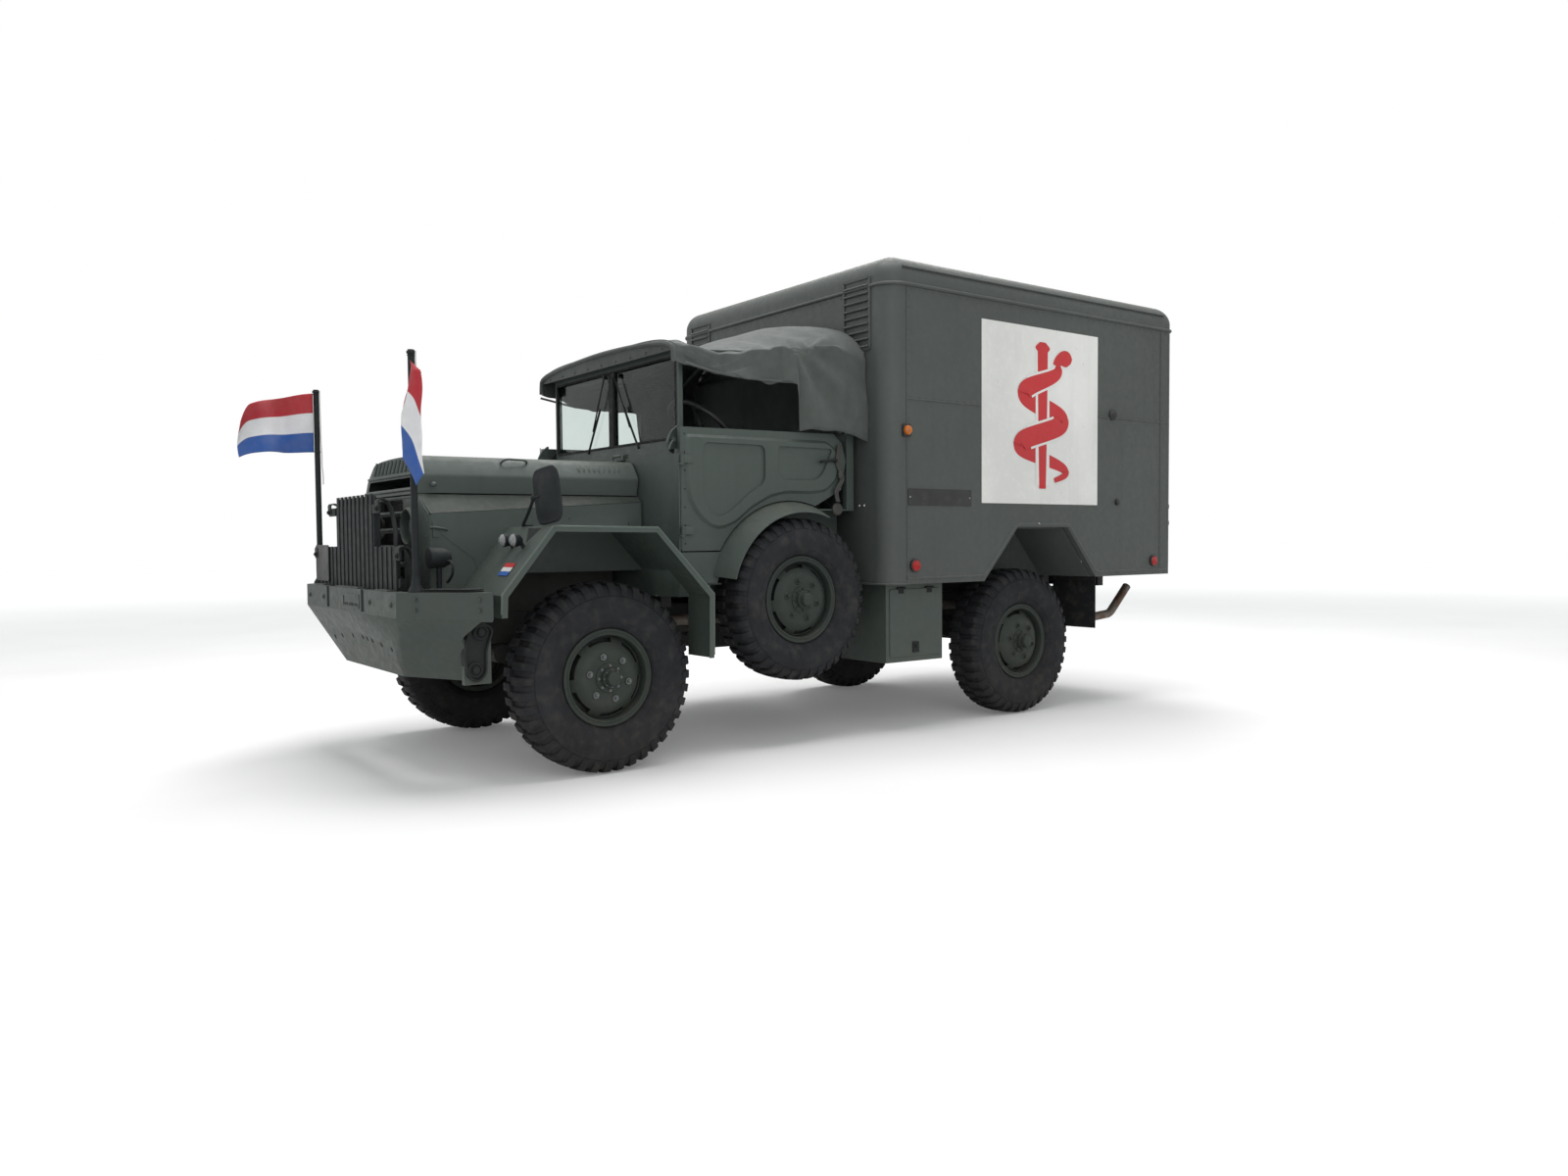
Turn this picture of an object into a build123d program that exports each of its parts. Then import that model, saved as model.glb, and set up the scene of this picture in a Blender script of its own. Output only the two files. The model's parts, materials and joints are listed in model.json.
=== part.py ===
"""Four-wheel-drive military ambulance truck with a canvas-topped cab and a closed box body.

Millimetres. +Z is up from the ground, the front faces -Y and the truck's left side is +X.
The origin is on the ground under the middle of the truck's overall box.
"""
from build123d import *
from math import cos, radians, sin, sqrt
import os

os.makedirs("parts", exist_ok=True)

SIDES = ((1, "left"), (-1, "right"))

# Overall sizes
wheelbase = 2830
track = 1580
body_width = 2100
box_start = 1600
box_length = 2550
front_reach = 1220
hook_reach = 40
rear_reach = box_start + box_length + hook_reach
front_axle_y = (front_reach - rear_reach) / 2
rear_axle_y = front_axle_y + wheelbase
half_width = body_width / 2

# Clearances
moving_gap = 5
running_fit = 0.05
soft_gap = 0.3

# Wheels and tyres
tyre_radius = 445
spare_tyre_radius = 425
tyre_half_section = 127
rim_half_width = 90
rim_radius = 227.5
seat_radius = 206
flange_thickness = 12
rim_wall = 9
disc_thickness = 9
hub_radius = 46
spindle_radius = 25
spindle_end = 104
hub_end = 152
drum_radius = 162
axle_z = tyre_radius
wheel_x = track / 2
kingpin_x = wheel_x - 70

# Chassis
rail_half = 400
rail_low = 590
rail_high = 740
rail_wall = 8
rail_flange = 60

# Spare wheels, carried on a cross tube that lies on the chassis rails
spare_x = 800
spare_y = front_axle_y + 1125
spare_z = rail_high + spindle_radius
arch_radius = 505
arch_wall = 5
arch_lip_x = 930
arch_lip_radius = 452

# Front end
bumper_y = front_axle_y - 917
bumper_wing_y = front_axle_y - 620
bumper_corner_x = 724
bumper_top = 865
bumper_fold = 755
bumper_bottom = 475
bumper_wall = 8
bumper_flange = 60
nose_y = front_axle_y - 705
bonnet_rear_y = front_axle_y + 375
bonnet_half = 520
bonnet_low = 1305
bonnet_top = 1492
sheet = 6

# Cab
cowl_y = front_axle_y + 385
pillar_y = front_axle_y + 448
cab_rear_y = front_axle_y + 1560
cab_half = 800
cab_floor_z = 800
cowl_z = 1500
door_thickness = 35
door_top = 1645
door_front_y = front_axle_y + 455
door_rear_y = front_axle_y + 1505
waist_z = 1650
dash_low = 1330
ledge_z = 1240
well_x = 654
windscreen_y = front_axle_y + 520
windscreen_half = 700
windscreen_low = 1540
windscreen_top = 2045

# Box body
box_front_y = front_axle_y + box_start
box_rear_y = box_front_y + box_length
box_wall = 45
box_low = 830
box_side_top = 2440
box_top = 2600
box_corner = 120
rear_corner = 60
floor_thickness = 40
rear_opening_half = 940
rear_opening_low = 900
rear_opening_high = 2400
rear_door_thickness = 40


def block(x, y, z, mode=Mode.ADD):
    """Adds a box between two corners, each direction as two values in any order."""
    size = [abs(pair[1] - pair[0]) for pair in (x, y, z)]
    with Locations([(sum(x) / 2, sum(y) / 2, sum(z) / 2)]):
        Box(*size, mode=mode)


def prism(plane, outline, depth, mode=Mode.ADD):
    """Adds a straight prism with a polygon outline on the plane."""
    with BuildSketch(plane) as face:
        with BuildLine():
            Polyline(*outline, close=True)
        make_face()
    extrude(face.sketch, amount=depth, mode=mode)


def side_prism(x, depth, outline, mode=Mode.ADD):
    """Adds a prism with a (y, z) outline, from x along the sign of depth."""
    prism(Plane.YZ.offset(x), outline, depth, mode)


def cross_prism(y, depth, outline, mode=Mode.ADD):
    """Adds a prism with an (x, z) outline, from y towards the rear."""
    prism(Plane.XZ.offset(-y), outline, -depth, mode)


def flat_prism(z, depth, outline, mode=Mode.ADD):
    """Adds a prism with an (x, y) outline, from z upwards."""
    prism(Plane.XY.offset(z), outline, depth, mode)


def rod(start, end, radius, mode=Mode.ADD):
    """Adds a round rod between two points."""
    first, last = Vector(*start), Vector(*end)
    with BuildSketch(Plane(origin=first, z_dir=last - first)) as face:
        Circle(radius)
    extrude(face.sketch, amount=(last - first).length, mode=mode)


def turned(outline, y, z, mode=Mode.ADD, arc=360, start=0):
    """Adds an (x, radius) outline turned about the X axis through y and z."""
    plane = Plane(origin=(0, y, z), x_dir=(1, 0, 0), z_dir=(0, -sin(radians(start)), cos(radians(start))))
    with BuildSketch(plane) as face:
        with BuildLine():
            Polyline(*outline, close=True)
        make_face()
    revolve(face.sketch, axis=Axis((0, y, z), (1, 0, 0)), revolution_arc=arc, mode=mode)


def mirrored_outline(points):
    """Closes a half outline of (x, other) points with its mirror image."""
    return list(points) + [(-x, other) for x, other in reversed(points) if x]


def along(points, datum):
    """Moves a list of (y, z) points by the y of a datum."""
    return [(datum + y, z) for y, z in points]


# Chassis: channel rails, cross-members, body bearers and a tow hook
rail_front_y = bumper_y + 82
rail_rear_y = box_rear_y - 60
last_member = rail_rear_y - front_axle_y - 60
member_offsets = (-640, -300, 300, 900, 1400, 1750, 2300, 2830, 3300, 3700, last_member)
box_bearer_offsets = (1700, 2250, 2830, 3450, last_member)
cab_bearer_offsets = (480, 930, 1500)
member_half = 40
bearer_half = 30
box_bearer_x = 560
cab_bearer_x = 600
horn_height = 60
hook_z = (rail_low + rail_high) / 2
hook_radius = 25
with BuildPart() as chassis:
    for side in (1, -1):
        outer, inner = side * rail_half, side * (rail_half - rail_flange)
        block((outer, outer - side * rail_wall), (rail_front_y, rail_rear_y), (rail_low, rail_high))
        for low in (rail_low, rail_high - rail_wall):
            block((outer, inner), (rail_front_y, rail_rear_y), (low, low + rail_wall))
        horn_top = rail_high + horn_height
        block((inner, outer), (bumper_y + 2 * bumper_wall, nose_y - moving_gap), (rail_high, horn_top))
        horn_front_y = bumper_y + bumper_wall
        block((inner, outer), (horn_front_y, horn_front_y + bumper_wall), (bumper_fold + 5, horn_top))
    for offset_y in member_offsets:
        member_y = front_axle_y + offset_y
        reach = rail_half - rail_wall
        member_span = (member_y - member_half, member_y + member_half)
        block((-reach, reach), member_span, (rail_low + 20, rail_high - 20))
    for offset_y in box_bearer_offsets:
        bearer_span = (front_axle_y + offset_y - bearer_half, front_axle_y + offset_y + bearer_half)
        block((-box_bearer_x, box_bearer_x), bearer_span, (rail_high, box_low))
    for offset_y in cab_bearer_offsets:
        bearer_span = (front_axle_y + offset_y - bearer_half, front_axle_y + offset_y + bearer_half)
        block((-cab_bearer_x, cab_bearer_x), bearer_span, (rail_high, cab_floor_z))
    rod((0, rail_rear_y - 60, hook_z), (0, front_axle_y + rear_reach, hook_z), hook_radius)
chassis.part.label = "chassis_frame"
export_step(chassis.part, "parts/chassis_frame.step")

# Engine: one block between the rails, on the front cross-members
engine_half = 240
engine_top = 1230
with BuildPart() as engine:
    block((-engine_half, engine_half), (front_axle_y - 480, front_axle_y + 370), (rail_high - 20, engine_top))
engine.part.label = "engine_block"
export_step(engine.part, "parts/engine_block.step")

# Drive line: gearbox, transfer case, differentials and shafts
shaft_z = 560
shaft_radius = 30
half_shaft_radius = 24
differential_radius = 120
differential_lift = 40
gearbox_y = (front_axle_y + 395, front_axle_y + 860)
transfer_y = (front_axle_y + 960, front_axle_y + 1330)
with BuildPart() as drivetrain:
    block((-150, 150), gearbox_y, (570, rail_high - 5))
    block((-200, 200), transfer_y, (470, 700))
    for axle_y, reach_y in ((front_axle_y, transfer_y[0]), (rear_axle_y, transfer_y[1])):
        with Locations((0, axle_y, axle_z + differential_lift)):
            Sphere(differential_radius)
        rod((0, axle_y, axle_z + differential_lift), (0, reach_y, shaft_z), shaft_radius)
        half_shaft = rail_half + 4
        rod((-half_shaft, axle_y, axle_z), (half_shaft, axle_y, axle_z), half_shaft_radius)
drivetrain.part.label = "drivetrain"
export_step(drivetrain.part, "parts/drivetrain.step")

# Suspension: a cross tube on each axle line with trailing arms and hub carriers
arm_reach = 330
arm_x = (rail_half + 5, rail_half + 45)
arm_half = 35
tube_radius = 45
boss_radius = 26
boss_half = 70
kingpin_radius = 15
fork_reach = 105
fork_thickness = 30
brake_radius = drum_radius - 15
brake_inner_x = wheel_x - 28
brake_outer_x = wheel_x - 20
spindle_x = wheel_x + spindle_end
for axle_name, axle_y in (("front_axle", front_axle_y), ("rear_axle", rear_axle_y)):
    with BuildPart() as axle:
        tube_y = axle_y - arm_reach
        tube_z = rail_low - 45
        for side in (1, -1):
            rod((side * 70, tube_y, tube_z), (side * arm_x[1], tube_y, tube_z), tube_radius)
            arm = [(-arm_reach - 30, tube_z - arm_half), (-arm_reach + 30, tube_z + arm_half),
                   (40, axle_z + arm_half), (40, axle_z - arm_half), (-40, axle_z - arm_half)]
            side_prism(side * arm_x[0], side * (arm_x[1] - arm_x[0]), along(arm, axle_y))
            axis_x = [side * x for x in (arm_x[1], kingpin_x, brake_inner_x, brake_outer_x, spindle_x)]
            if axle_name == "front_axle":
                rod((axis_x[0], axle_y, axle_z), (axis_x[1], axle_y, axle_z), half_shaft_radius)
                low_z, high_z = axle_z - boss_half, axle_z + boss_half
                rod((axis_x[1], axle_y, low_z), (axis_x[1], axle_y, high_z), boss_radius)
                rod((axis_x[1], axle_y, low_z - 1), (axis_x[1], axle_y, high_z + 1),
                    kingpin_radius + running_fit, Mode.SUBTRACT)
            else:
                rod((axis_x[0], axle_y, axle_z), (axis_x[2], axle_y, axle_z), 34)
                rod((axis_x[2], axle_y, axle_z), (axis_x[3], axle_y, axle_z), brake_radius)
                rod((axis_x[3], axle_y, axle_z), (axis_x[4], axle_y, axle_z), spindle_radius)
    axle.part.label = axle_name
    export_step(axle.part, f"parts/{axle_name}.step")

# Steering knuckles: a forked bracket round the kingpin boss, brake plate and spindle
for side, name in SIDES:
    with BuildPart() as knuckle:
        plate = (side * (brake_inner_x - 10), side * brake_inner_x)
        low_z, high_z = axle_z - fork_reach, axle_z + fork_reach
        block(plate, (front_axle_y - 55, front_axle_y + 55), (low_z, high_z))
        for low in (low_z, axle_z + boss_half + moving_gap):
            block((side * (kingpin_x - boss_radius), plate[0]), (front_axle_y - 30, front_axle_y + 30),
                  (low, low + fork_thickness))
        rod((side * kingpin_x, front_axle_y, low_z), (side * kingpin_x, front_axle_y, high_z), kingpin_radius)
        outer_x = side * brake_outer_x
        rod((plate[1], front_axle_y, axle_z), (outer_x, front_axle_y, axle_z), brake_radius)
        rod((outer_x, front_axle_y, axle_z), (side * spindle_x, front_axle_y, axle_z), spindle_radius)
    knuckle.part.label = f"knuckle_{name}"
    export_step(knuckle.part, f"parts/knuckle_{name}.step")


def wheel_outline(side, centre_x, points):
    """Turns (offset, radius) points, offset outwards from the tyre's middle, into (x, radius) points."""
    return [(side * (centre_x + offset_x), radius) for offset_x, radius in points]


def rim_profile():
    """The rim's ring as (offset, radius) points."""
    edge = rim_half_width
    bead = rim_half_width - flange_thickness
    inner = seat_radius - rim_wall
    half = [(bead, inner), (edge, inner + 17), (edge, rim_radius), (bead, rim_radius), (bead, seat_radius)]
    return half + [(-offset_x, radius) for offset_x, radius in reversed(half)]


def disc_profile():
    """The dished wheel disc between rim and hub as (offset, radius) points."""
    outer = [(42, seat_radius - 6), (48, 186), (80, 150), (96, 122), (96, hub_radius - 6)]
    return outer + [(offset_x - disc_thickness, radius) for offset_x, radius in reversed(outer)]


def hub_profile(inner_end):
    """The hub sleeve round the spindle, closed by its cap, as (offset, radius) points."""
    bore = spindle_radius + running_fit
    return [(inner_end, bore), (inner_end, hub_radius), (126, hub_radius), (130, 36), (hub_end, 33),
            (hub_end, 0), (spindle_end + moving_gap, 0), (spindle_end + moving_gap, bore)]


def drum_profile():
    """The brake drum as (offset, radius) points."""
    wall = drum_radius - 10
    foot = hub_radius - 6
    return [(-16, wall), (-16, drum_radius), (60, drum_radius), (60, foot), (50, foot), (50, wall)]


def add_tyre(side, centre_x, y, z, radius):
    """Adds a tyre whose bead sits between the rim's flanges."""
    bead = rim_half_width - flange_thickness
    shoulder = radius - 40
    crown = radius - 5
    at = [(0, seat_radius), (bead, seat_radius), (bead, rim_radius + 2), (bead + 18, rim_radius + 10),
          (tyre_half_section, (rim_radius + shoulder) / 2), (tyre_half_section - 14, shoulder), (90, crown)]
    points = wheel_outline(side, centre_x, at)
    inner_points = wheel_outline(side, centre_x, [(-offset_x, r) for offset_x, r in at])
    with BuildSketch(Plane(origin=(0, y, z), x_dir=(1, 0, 0), z_dir=(0, 0, 1))) as face:
        with BuildLine():
            Polyline(inner_points[3], inner_points[2], inner_points[1], points[1], points[2], points[3])
            ThreePointArc(points[3], points[4], points[5])
            Line(points[5], points[6])
            ThreePointArc(points[6], (side * centre_x, radius), inner_points[6])
            Line(inner_points[6], inner_points[5])
            ThreePointArc(inner_points[5], inner_points[4], inner_points[3])
        make_face()
    revolve(face.sketch, axis=Axis((0, y, z), (1, 0, 0)))


# Wheels: the table gives end, axle place, height, middle of the tyre, tyre radius and whether it has a drum
wheel_table = (
    ("front", front_axle_y, axle_z, wheel_x, tyre_radius, True),
    ("rear", rear_axle_y, axle_z, wheel_x, tyre_radius, True),
    ("spare", spare_y, spare_z, spare_x, spare_tyre_radius, False),
)
for end, centre_y, centre_z, centre_x, radius, has_drum in wheel_table:
    for side, name in SIDES:
        with BuildPart() as wheel:
            turned(wheel_outline(side, centre_x, rim_profile()), centre_y, centre_z)
            turned(wheel_outline(side, centre_x, disc_profile()), centre_y, centre_z)
            turned(wheel_outline(side, centre_x, hub_profile(-10)), centre_y, centre_z)
            if has_drum:
                turned(wheel_outline(side, centre_x, drum_profile()), centre_y, centre_z)
        wheel.part.label = f"wheel_{end}_{name}"
        export_step(wheel.part, f"parts/wheel_{end}_{name}.step")
        with BuildPart() as tyre:
            add_tyre(side, centre_x, centre_y, centre_z, radius)
        tyre.part.label = f"tyre_{end}_{name}"
        export_step(tyre.part, f"parts/tyre_{end}_{name}.step")

# Spare wheel carrier: a cross tube on the rails that ends in spindles
with BuildPart() as spare_carrier:
    rod((-spare_x - spindle_end, spare_y, spare_z), (spare_x + spindle_end, spare_y, spare_z), spindle_radius)
spare_carrier.part.label = "spare_carrier"
export_step(spare_carrier.part, "parts/spare_carrier.step")

# Front bumper: upright band with a top flange, tapered skirt below and shackle plates
bumper_plan = [(half_width, bumper_wing_y), (bumper_corner_x, bumper_y)]
shackle_x = (838, 868)
shackle_y = bumper_wing_y + 20
shackle_z = 520
shackle_bore = 14
skirt_low_plan = [(820, bumper_wing_y), (450, bumper_y + 117)]
band_parts = (
    (bumper_fold, bumper_top - bumper_fold, bumper_wall),
    (bumper_top - bumper_wall, bumper_wall, bumper_flange),
)
with BuildPart() as bumper:
    for low, height, depth in band_parts:
        with BuildSketch(Plane.XY.offset(low)) as strip:
            with BuildLine():
                Polyline(*mirrored_outline([(half_width, bumper_wing_y + 200)] + bumper_plan), close=True)
            make_face()
            offset(amount=-depth, kind=Kind.INTERSECTION, mode=Mode.SUBTRACT)
            with Locations((0, bumper_wing_y + 150)):
                Rectangle(body_width + 2, 300, mode=Mode.SUBTRACT)
        extrude(strip.sketch, amount=height)
    for shift, mode in ((0, Mode.ADD), (bumper_wall, Mode.SUBTRACT)):
        faces = []
        for level, plan in ((bumper_fold, bumper_plan), (bumper_bottom, skirt_low_plan)):
            overshoot = shift if level == bumper_bottom else 0
            corner_shift = 12 if shift else 0
            moved = [(x - shift, y + shift + (corner_shift if x > bumper_corner_x else 0)) for x, y in plan]
            with BuildSketch(Plane.XY.offset(level - overshoot)) as section:
                with BuildLine():
                    Polyline(*mirrored_outline(moved), close=True)
                make_face()
            faces.append(section.sketch.face())
        loft(faces, ruled=True, mode=mode)
    for side in (1, -1):
        near_x, far_x = side * shackle_x[0], side * shackle_x[1]
        block((near_x, far_x), (bumper_wing_y - 60, bumper_wing_y + 60), (465, 650))
        rod((near_x - side, shackle_y, shackle_z), (far_x + side, shackle_y, shackle_z), shackle_bore,
            Mode.SUBTRACT)
bumper.part.label = "front_bumper"
export_step(bumper.part, "parts/front_bumper.step")

# Brush guard: upright slats, tall in the middle and low at the sides, on cross straps
slat_y = bumper_y + 40
slat_width = 34
slat_pitch = 66
tall_top = 1300
low_top = 1060
tall_count = 4
low_count = 9
with BuildPart() as brush_guard:
    for index in range(-low_count, low_count + 1):
        slat_x = index * slat_pitch
        top = tall_top if abs(index) <= tall_count else low_top
        block((slat_x - slat_width / 2, slat_x + slat_width / 2), (slat_y, slat_y + 8), (bumper_top, top))
    strap_levels = ((tall_count, (tall_top - 30, low_top + 25)), (low_count, (low_top - 30, bumper_top + 35)))
    for count, heights in strap_levels:
        half = count * slat_pitch + 40
        for height in heights:
            block((-half, half), (slat_y + 8, slat_y + 16), (height - 20, height + 20))
brush_guard.part.label = "brush_guard"
export_step(brush_guard.part, "parts/brush_guard.step")

# Nose: front panel with the radiator opening, grille bars and lamp rings
grille_half = 200
lamp_x = 300
lamp_z = 1150
lamp_radius = 85
lamp_depth = 25
with BuildPart() as grille_panel:
    block((-bonnet_half, bonnet_half), (nose_y, nose_y + sheet), (rail_high, bonnet_low - moving_gap))
    block((-grille_half, grille_half), (nose_y - 1, nose_y + sheet + 1), (880, 1270), Mode.SUBTRACT)
    for bar_z in range(920, 1260, 65):
        block((-grille_half - 5, grille_half + 5), (nose_y, nose_y + 20), (bar_z - 8, bar_z + 8))
grille_panel.part.label = "grille_panel"
export_step(grille_panel.part, "parts/grille_panel.step")

with BuildPart() as headlamps:
    for side in (1, -1):
        rod((side * lamp_x, nose_y, lamp_z), (side * lamp_x, nose_y - lamp_depth, lamp_z), lamp_radius)
headlamps.part.label = "headlamps"
export_step(headlamps.part, "parts/headlamps.step")

# Bonnet: a folded shell, open below, hinged along its rear edge
bonnet_front_y = nose_y - 10
barrel_radius = 10
pin_radius = 6
hinge_z = cowl_z + barrel_radius + moving_gap
bonnet_hinge_y = bonnet_rear_y + 5
section_outer = mirrored_outline([(bonnet_half, bonnet_low), (bonnet_half, bonnet_top - 107),
                                  (480, bonnet_top - 32), (440, bonnet_top - 16), (0, bonnet_top)])
bonnet_inner = bonnet_half - sheet
section_inner = mirrored_outline([(bonnet_inner, bonnet_low - 1), (bonnet_inner, bonnet_top - 108),
                                  (476, bonnet_top - 37), (438, bonnet_top - 22), (0, bonnet_top - sheet)])
bonnet_strap_x = (260, 340)
with BuildPart() as bonnet:
    cross_prism(bonnet_front_y, bonnet_rear_y - bonnet_front_y, section_outer)
    cross_prism(bonnet_front_y + sheet, bonnet_rear_y - bonnet_front_y, section_inner, Mode.SUBTRACT)
    for side in (1, -1):
        near_x, far_x = side * bonnet_strap_x[0], side * bonnet_strap_x[1]
        block((near_x, far_x), (bonnet_rear_y - 30, bonnet_rear_y - 10), (bonnet_top - 18, hinge_z + 5))
        rod((near_x, bonnet_hinge_y, hinge_z), (far_x, bonnet_hinge_y, hinge_z), barrel_radius)
        block((near_x, far_x), (bonnet_rear_y - 20, bonnet_hinge_y), (hinge_z - 5, hinge_z + 5))
        rod((near_x - side, bonnet_hinge_y, hinge_z), (far_x + side, bonnet_hinge_y, hinge_z),
            pin_radius + running_fit, Mode.SUBTRACT)
bonnet.part.label = "bonnet"
export_step(bonnet.part, "parts/bonnet.step")

# Front mudguards: a bent strip round the wheel with an outer lip, and the inner wing up to the bonnet
fender_top = [(-575, 755), (-572, 850), (-335, 1145), (190, 1140), (490, 820), (487, 515)]
fender_under = [(481, 515), (484, 818), (187, 1134), (-332, 1139), (-566, 848), (-569, 755)]
fender_lip = [(461, 515), (464, 809), (179, 1114), (-323, 1119), (-546, 841), (-549, 755)]
fender_outer_x = 1030
wing_x = bonnet_half + 25
wing_top = bonnet_low - 30
for side, name in SIDES:
    with BuildPart() as fender:
        guard = along(fender_top + fender_under, front_axle_y)
        side_prism(side * wing_x, side * (fender_outer_x - wing_x), guard)
        block((side * (wing_x - 1), side * (cab_half + moving_gap)), (bonnet_rear_y, front_axle_y + 500),
              (500, 1200), Mode.SUBTRACT)
        lip = along(fender_top + fender_lip, front_axle_y)
        side_prism(side * (fender_outer_x - sheet), side * sheet, lip)
        wing = [(-695, 1145), (-695, wing_top), (375, wing_top), (375, 930), (-480, 930), (-500, 1000)]
        side_prism(side * (wing_x - sheet), side * sheet, along(wing, front_axle_y))
        block((side * (bonnet_half - sheet), side * wing_x), (nose_y + sheet, bonnet_rear_y),
              (wing_top - sheet, wing_top))
    fender.part.label = f"front_fender_{name}"
    export_step(fender.part, f"parts/front_fender_{name}.step")

# Cab body: firewall, cowl, floor, side panels, wells round the spare wheels, rear wall and dashboard
hinge_x = cab_half + 12
column_foot = (400, front_axle_y + 430, 1215)
column_direction = Vector(0, 0.666, 0.746)
wheel_centre = Vector(400, front_axle_y + 820, 1655)
cowl_plan = mirrored_outline([(610, cowl_y), (cab_half, pillar_y - 8), (cab_half, pillar_y),
                              (cab_half - 42, pillar_y), (cab_half - 42, front_axle_y + 560)])
scuttle_side = [(bonnet_half, cowl_y), (610, cowl_y), (cab_half, pillar_y - 8), (cab_half, pillar_y),
                (cab_half - 8, pillar_y), (607, cowl_y + 8), (bonnet_half, cowl_y + 8)]
lower_side = [(-12, 860), (200, 860), (250, 1018), (-12, 1018)]
door_hinge_levels = (1120, 1470)
hinge_half = 25
panel = 8
column_radius = 19
column_pin_radius = 11
ledge_front_y = spare_y + 165
footwell_y = front_axle_y + 615
with BuildPart() as cab_body:
    block((-bonnet_half, bonnet_half), (cowl_y, cowl_y + panel), (rail_high + 20, cowl_z))
    flat_prism(cowl_z - panel, panel, cowl_plan)
    block((-windscreen_half - 20, windscreen_half + 20), (windscreen_y - 30, windscreen_y + 30),
          (cowl_z, windscreen_low))
    block((-cab_half + 40, cab_half - 40), (windscreen_y + 25, windscreen_y + 80), (dash_low, cowl_z))
    block((-well_x, well_x), (cowl_y, cab_rear_y), (cab_floor_z, cab_floor_z + panel))
    block((-cab_half, cab_half), (pillar_y - panel, footwell_y), (cab_floor_z, cab_floor_z + panel))
    block((-well_x, well_x), (cab_rear_y - panel, cab_rear_y), (cab_floor_z, waist_z))
    block((-cab_half, cab_half), (cab_rear_y - panel, cab_rear_y), (ledge_z, waist_z))
    for side in (1, -1):
        skin = (side * (cab_half - panel), side * cab_half)
        flat_prism(cab_floor_z, cowl_z - cab_floor_z, [(side * x, y) for x, y in scuttle_side])
        side_prism(skin[0], side * panel, along(lower_side, pillar_y + 12))
        block(skin, (pillar_y - panel, footwell_y), (cab_floor_z, cab_floor_z + 60))
        block((side * (well_x - sheet), side * well_x), (footwell_y - 15, cab_rear_y), (cab_floor_z, ledge_z))
        well = well_x - sheet
        block((side * well, side * cab_half), (ledge_front_y, cab_rear_y), (ledge_z - panel, ledge_z))
        block((side * (cab_half - door_thickness), side * cab_half), (door_rear_y + moving_gap, cab_rear_y),
              (ledge_z, waist_z))
        arch = [(well, arch_radius), (cab_half, arch_radius), (arch_lip_x, arch_lip_radius),
                (arch_lip_x, arch_lip_radius + arch_wall), (cab_half, arch_radius + arch_wall),
                (well, arch_radius + arch_wall)]
        turned([(side * x, radius) for x, radius in arch], spare_y, spare_z, arc=96, start=69)
        pin_x = side * hinge_x
        for level in door_hinge_levels:
            foot = (level - hinge_half, level - 15)
            block((side * (cab_half - 1), side * (hinge_x + panel)), (pillar_y - panel, pillar_y), foot)
            block((pin_x - panel, pin_x + panel), (pillar_y - panel, door_front_y), foot)
            rod((pin_x, door_front_y, foot[0]), (pin_x, door_front_y, foot[1]), barrel_radius)
            rod((pin_x, door_front_y, foot[0]), (pin_x, door_front_y, level + hinge_half), pin_radius)
        ear = (side * (bonnet_strap_x[0] - 35), side * (bonnet_strap_x[1] + 35))
        rod((ear[0], bonnet_hinge_y, hinge_z), (ear[1], bonnet_hinge_y, hinge_z), pin_radius)
        for low in (abs(ear[0]) + 10, abs(ear[1]) - 30):
            block((side * low, side * (low + 20)), (bonnet_hinge_y - panel, cowl_y + 20),
                  (cowl_z - panel, hinge_z + panel))
    rod(column_foot, wheel_centre + column_direction * 10, column_radius)
    rod(wheel_centre, wheel_centre + column_direction * 36, column_pin_radius)
cab_body.part.label = "cab_body"
export_step(cab_body.part, "parts/cab_body.step")

# Steering wheel: rim, three spokes and a hub on the column's end
steering_plane = Plane(origin=wheel_centre + column_direction * 24, z_dir=column_direction)
steering_radius = 205
with BuildPart() as steering_wheel:
    with Locations(steering_plane):
        Torus(steering_radius, 13)
        Cylinder(32, 24)
    for turn in (90, 210, 330):
        tip = steering_plane.from_local_coords(Vector(steering_radius * cos(radians(turn)),
                                                      steering_radius * sin(radians(turn)), 0))
        rod(steering_plane.origin, tip, 8)
    rod(wheel_centre, wheel_centre + column_direction * 37, column_pin_radius + running_fit, Mode.SUBTRACT)
steering_wheel.part.label = "steering_wheel"
export_step(steering_wheel.part, "parts/steering_wheel.step")

# Windscreen: an upright frame with a centre pillar, and its two panes
glass_thickness = 6
frame_half = 12
pane_edges = ((-windscreen_half + 22, -15), (15, windscreen_half - 22))
pane_z = (windscreen_low + 45, windscreen_top - 45)
with BuildPart() as windscreen_frame:
    block((-windscreen_half, windscreen_half), (windscreen_y - frame_half, windscreen_y + frame_half),
          (windscreen_low, windscreen_top))
    for pane in pane_edges:
        block(pane, (windscreen_y - frame_half - 1, windscreen_y + frame_half + 1), pane_z, Mode.SUBTRACT)
windscreen_frame.part.label = "windscreen_frame"
export_step(windscreen_frame.part, "parts/windscreen_frame.step")

with BuildPart() as windscreen_glass:
    for pane in pane_edges:
        block(pane, (windscreen_y - glass_thickness / 2, windscreen_y + glass_thickness / 2), pane_z)
windscreen_glass.part.label = "windscreen_glass"
export_step(windscreen_glass.part, "parts/windscreen_glass.step")

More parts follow.
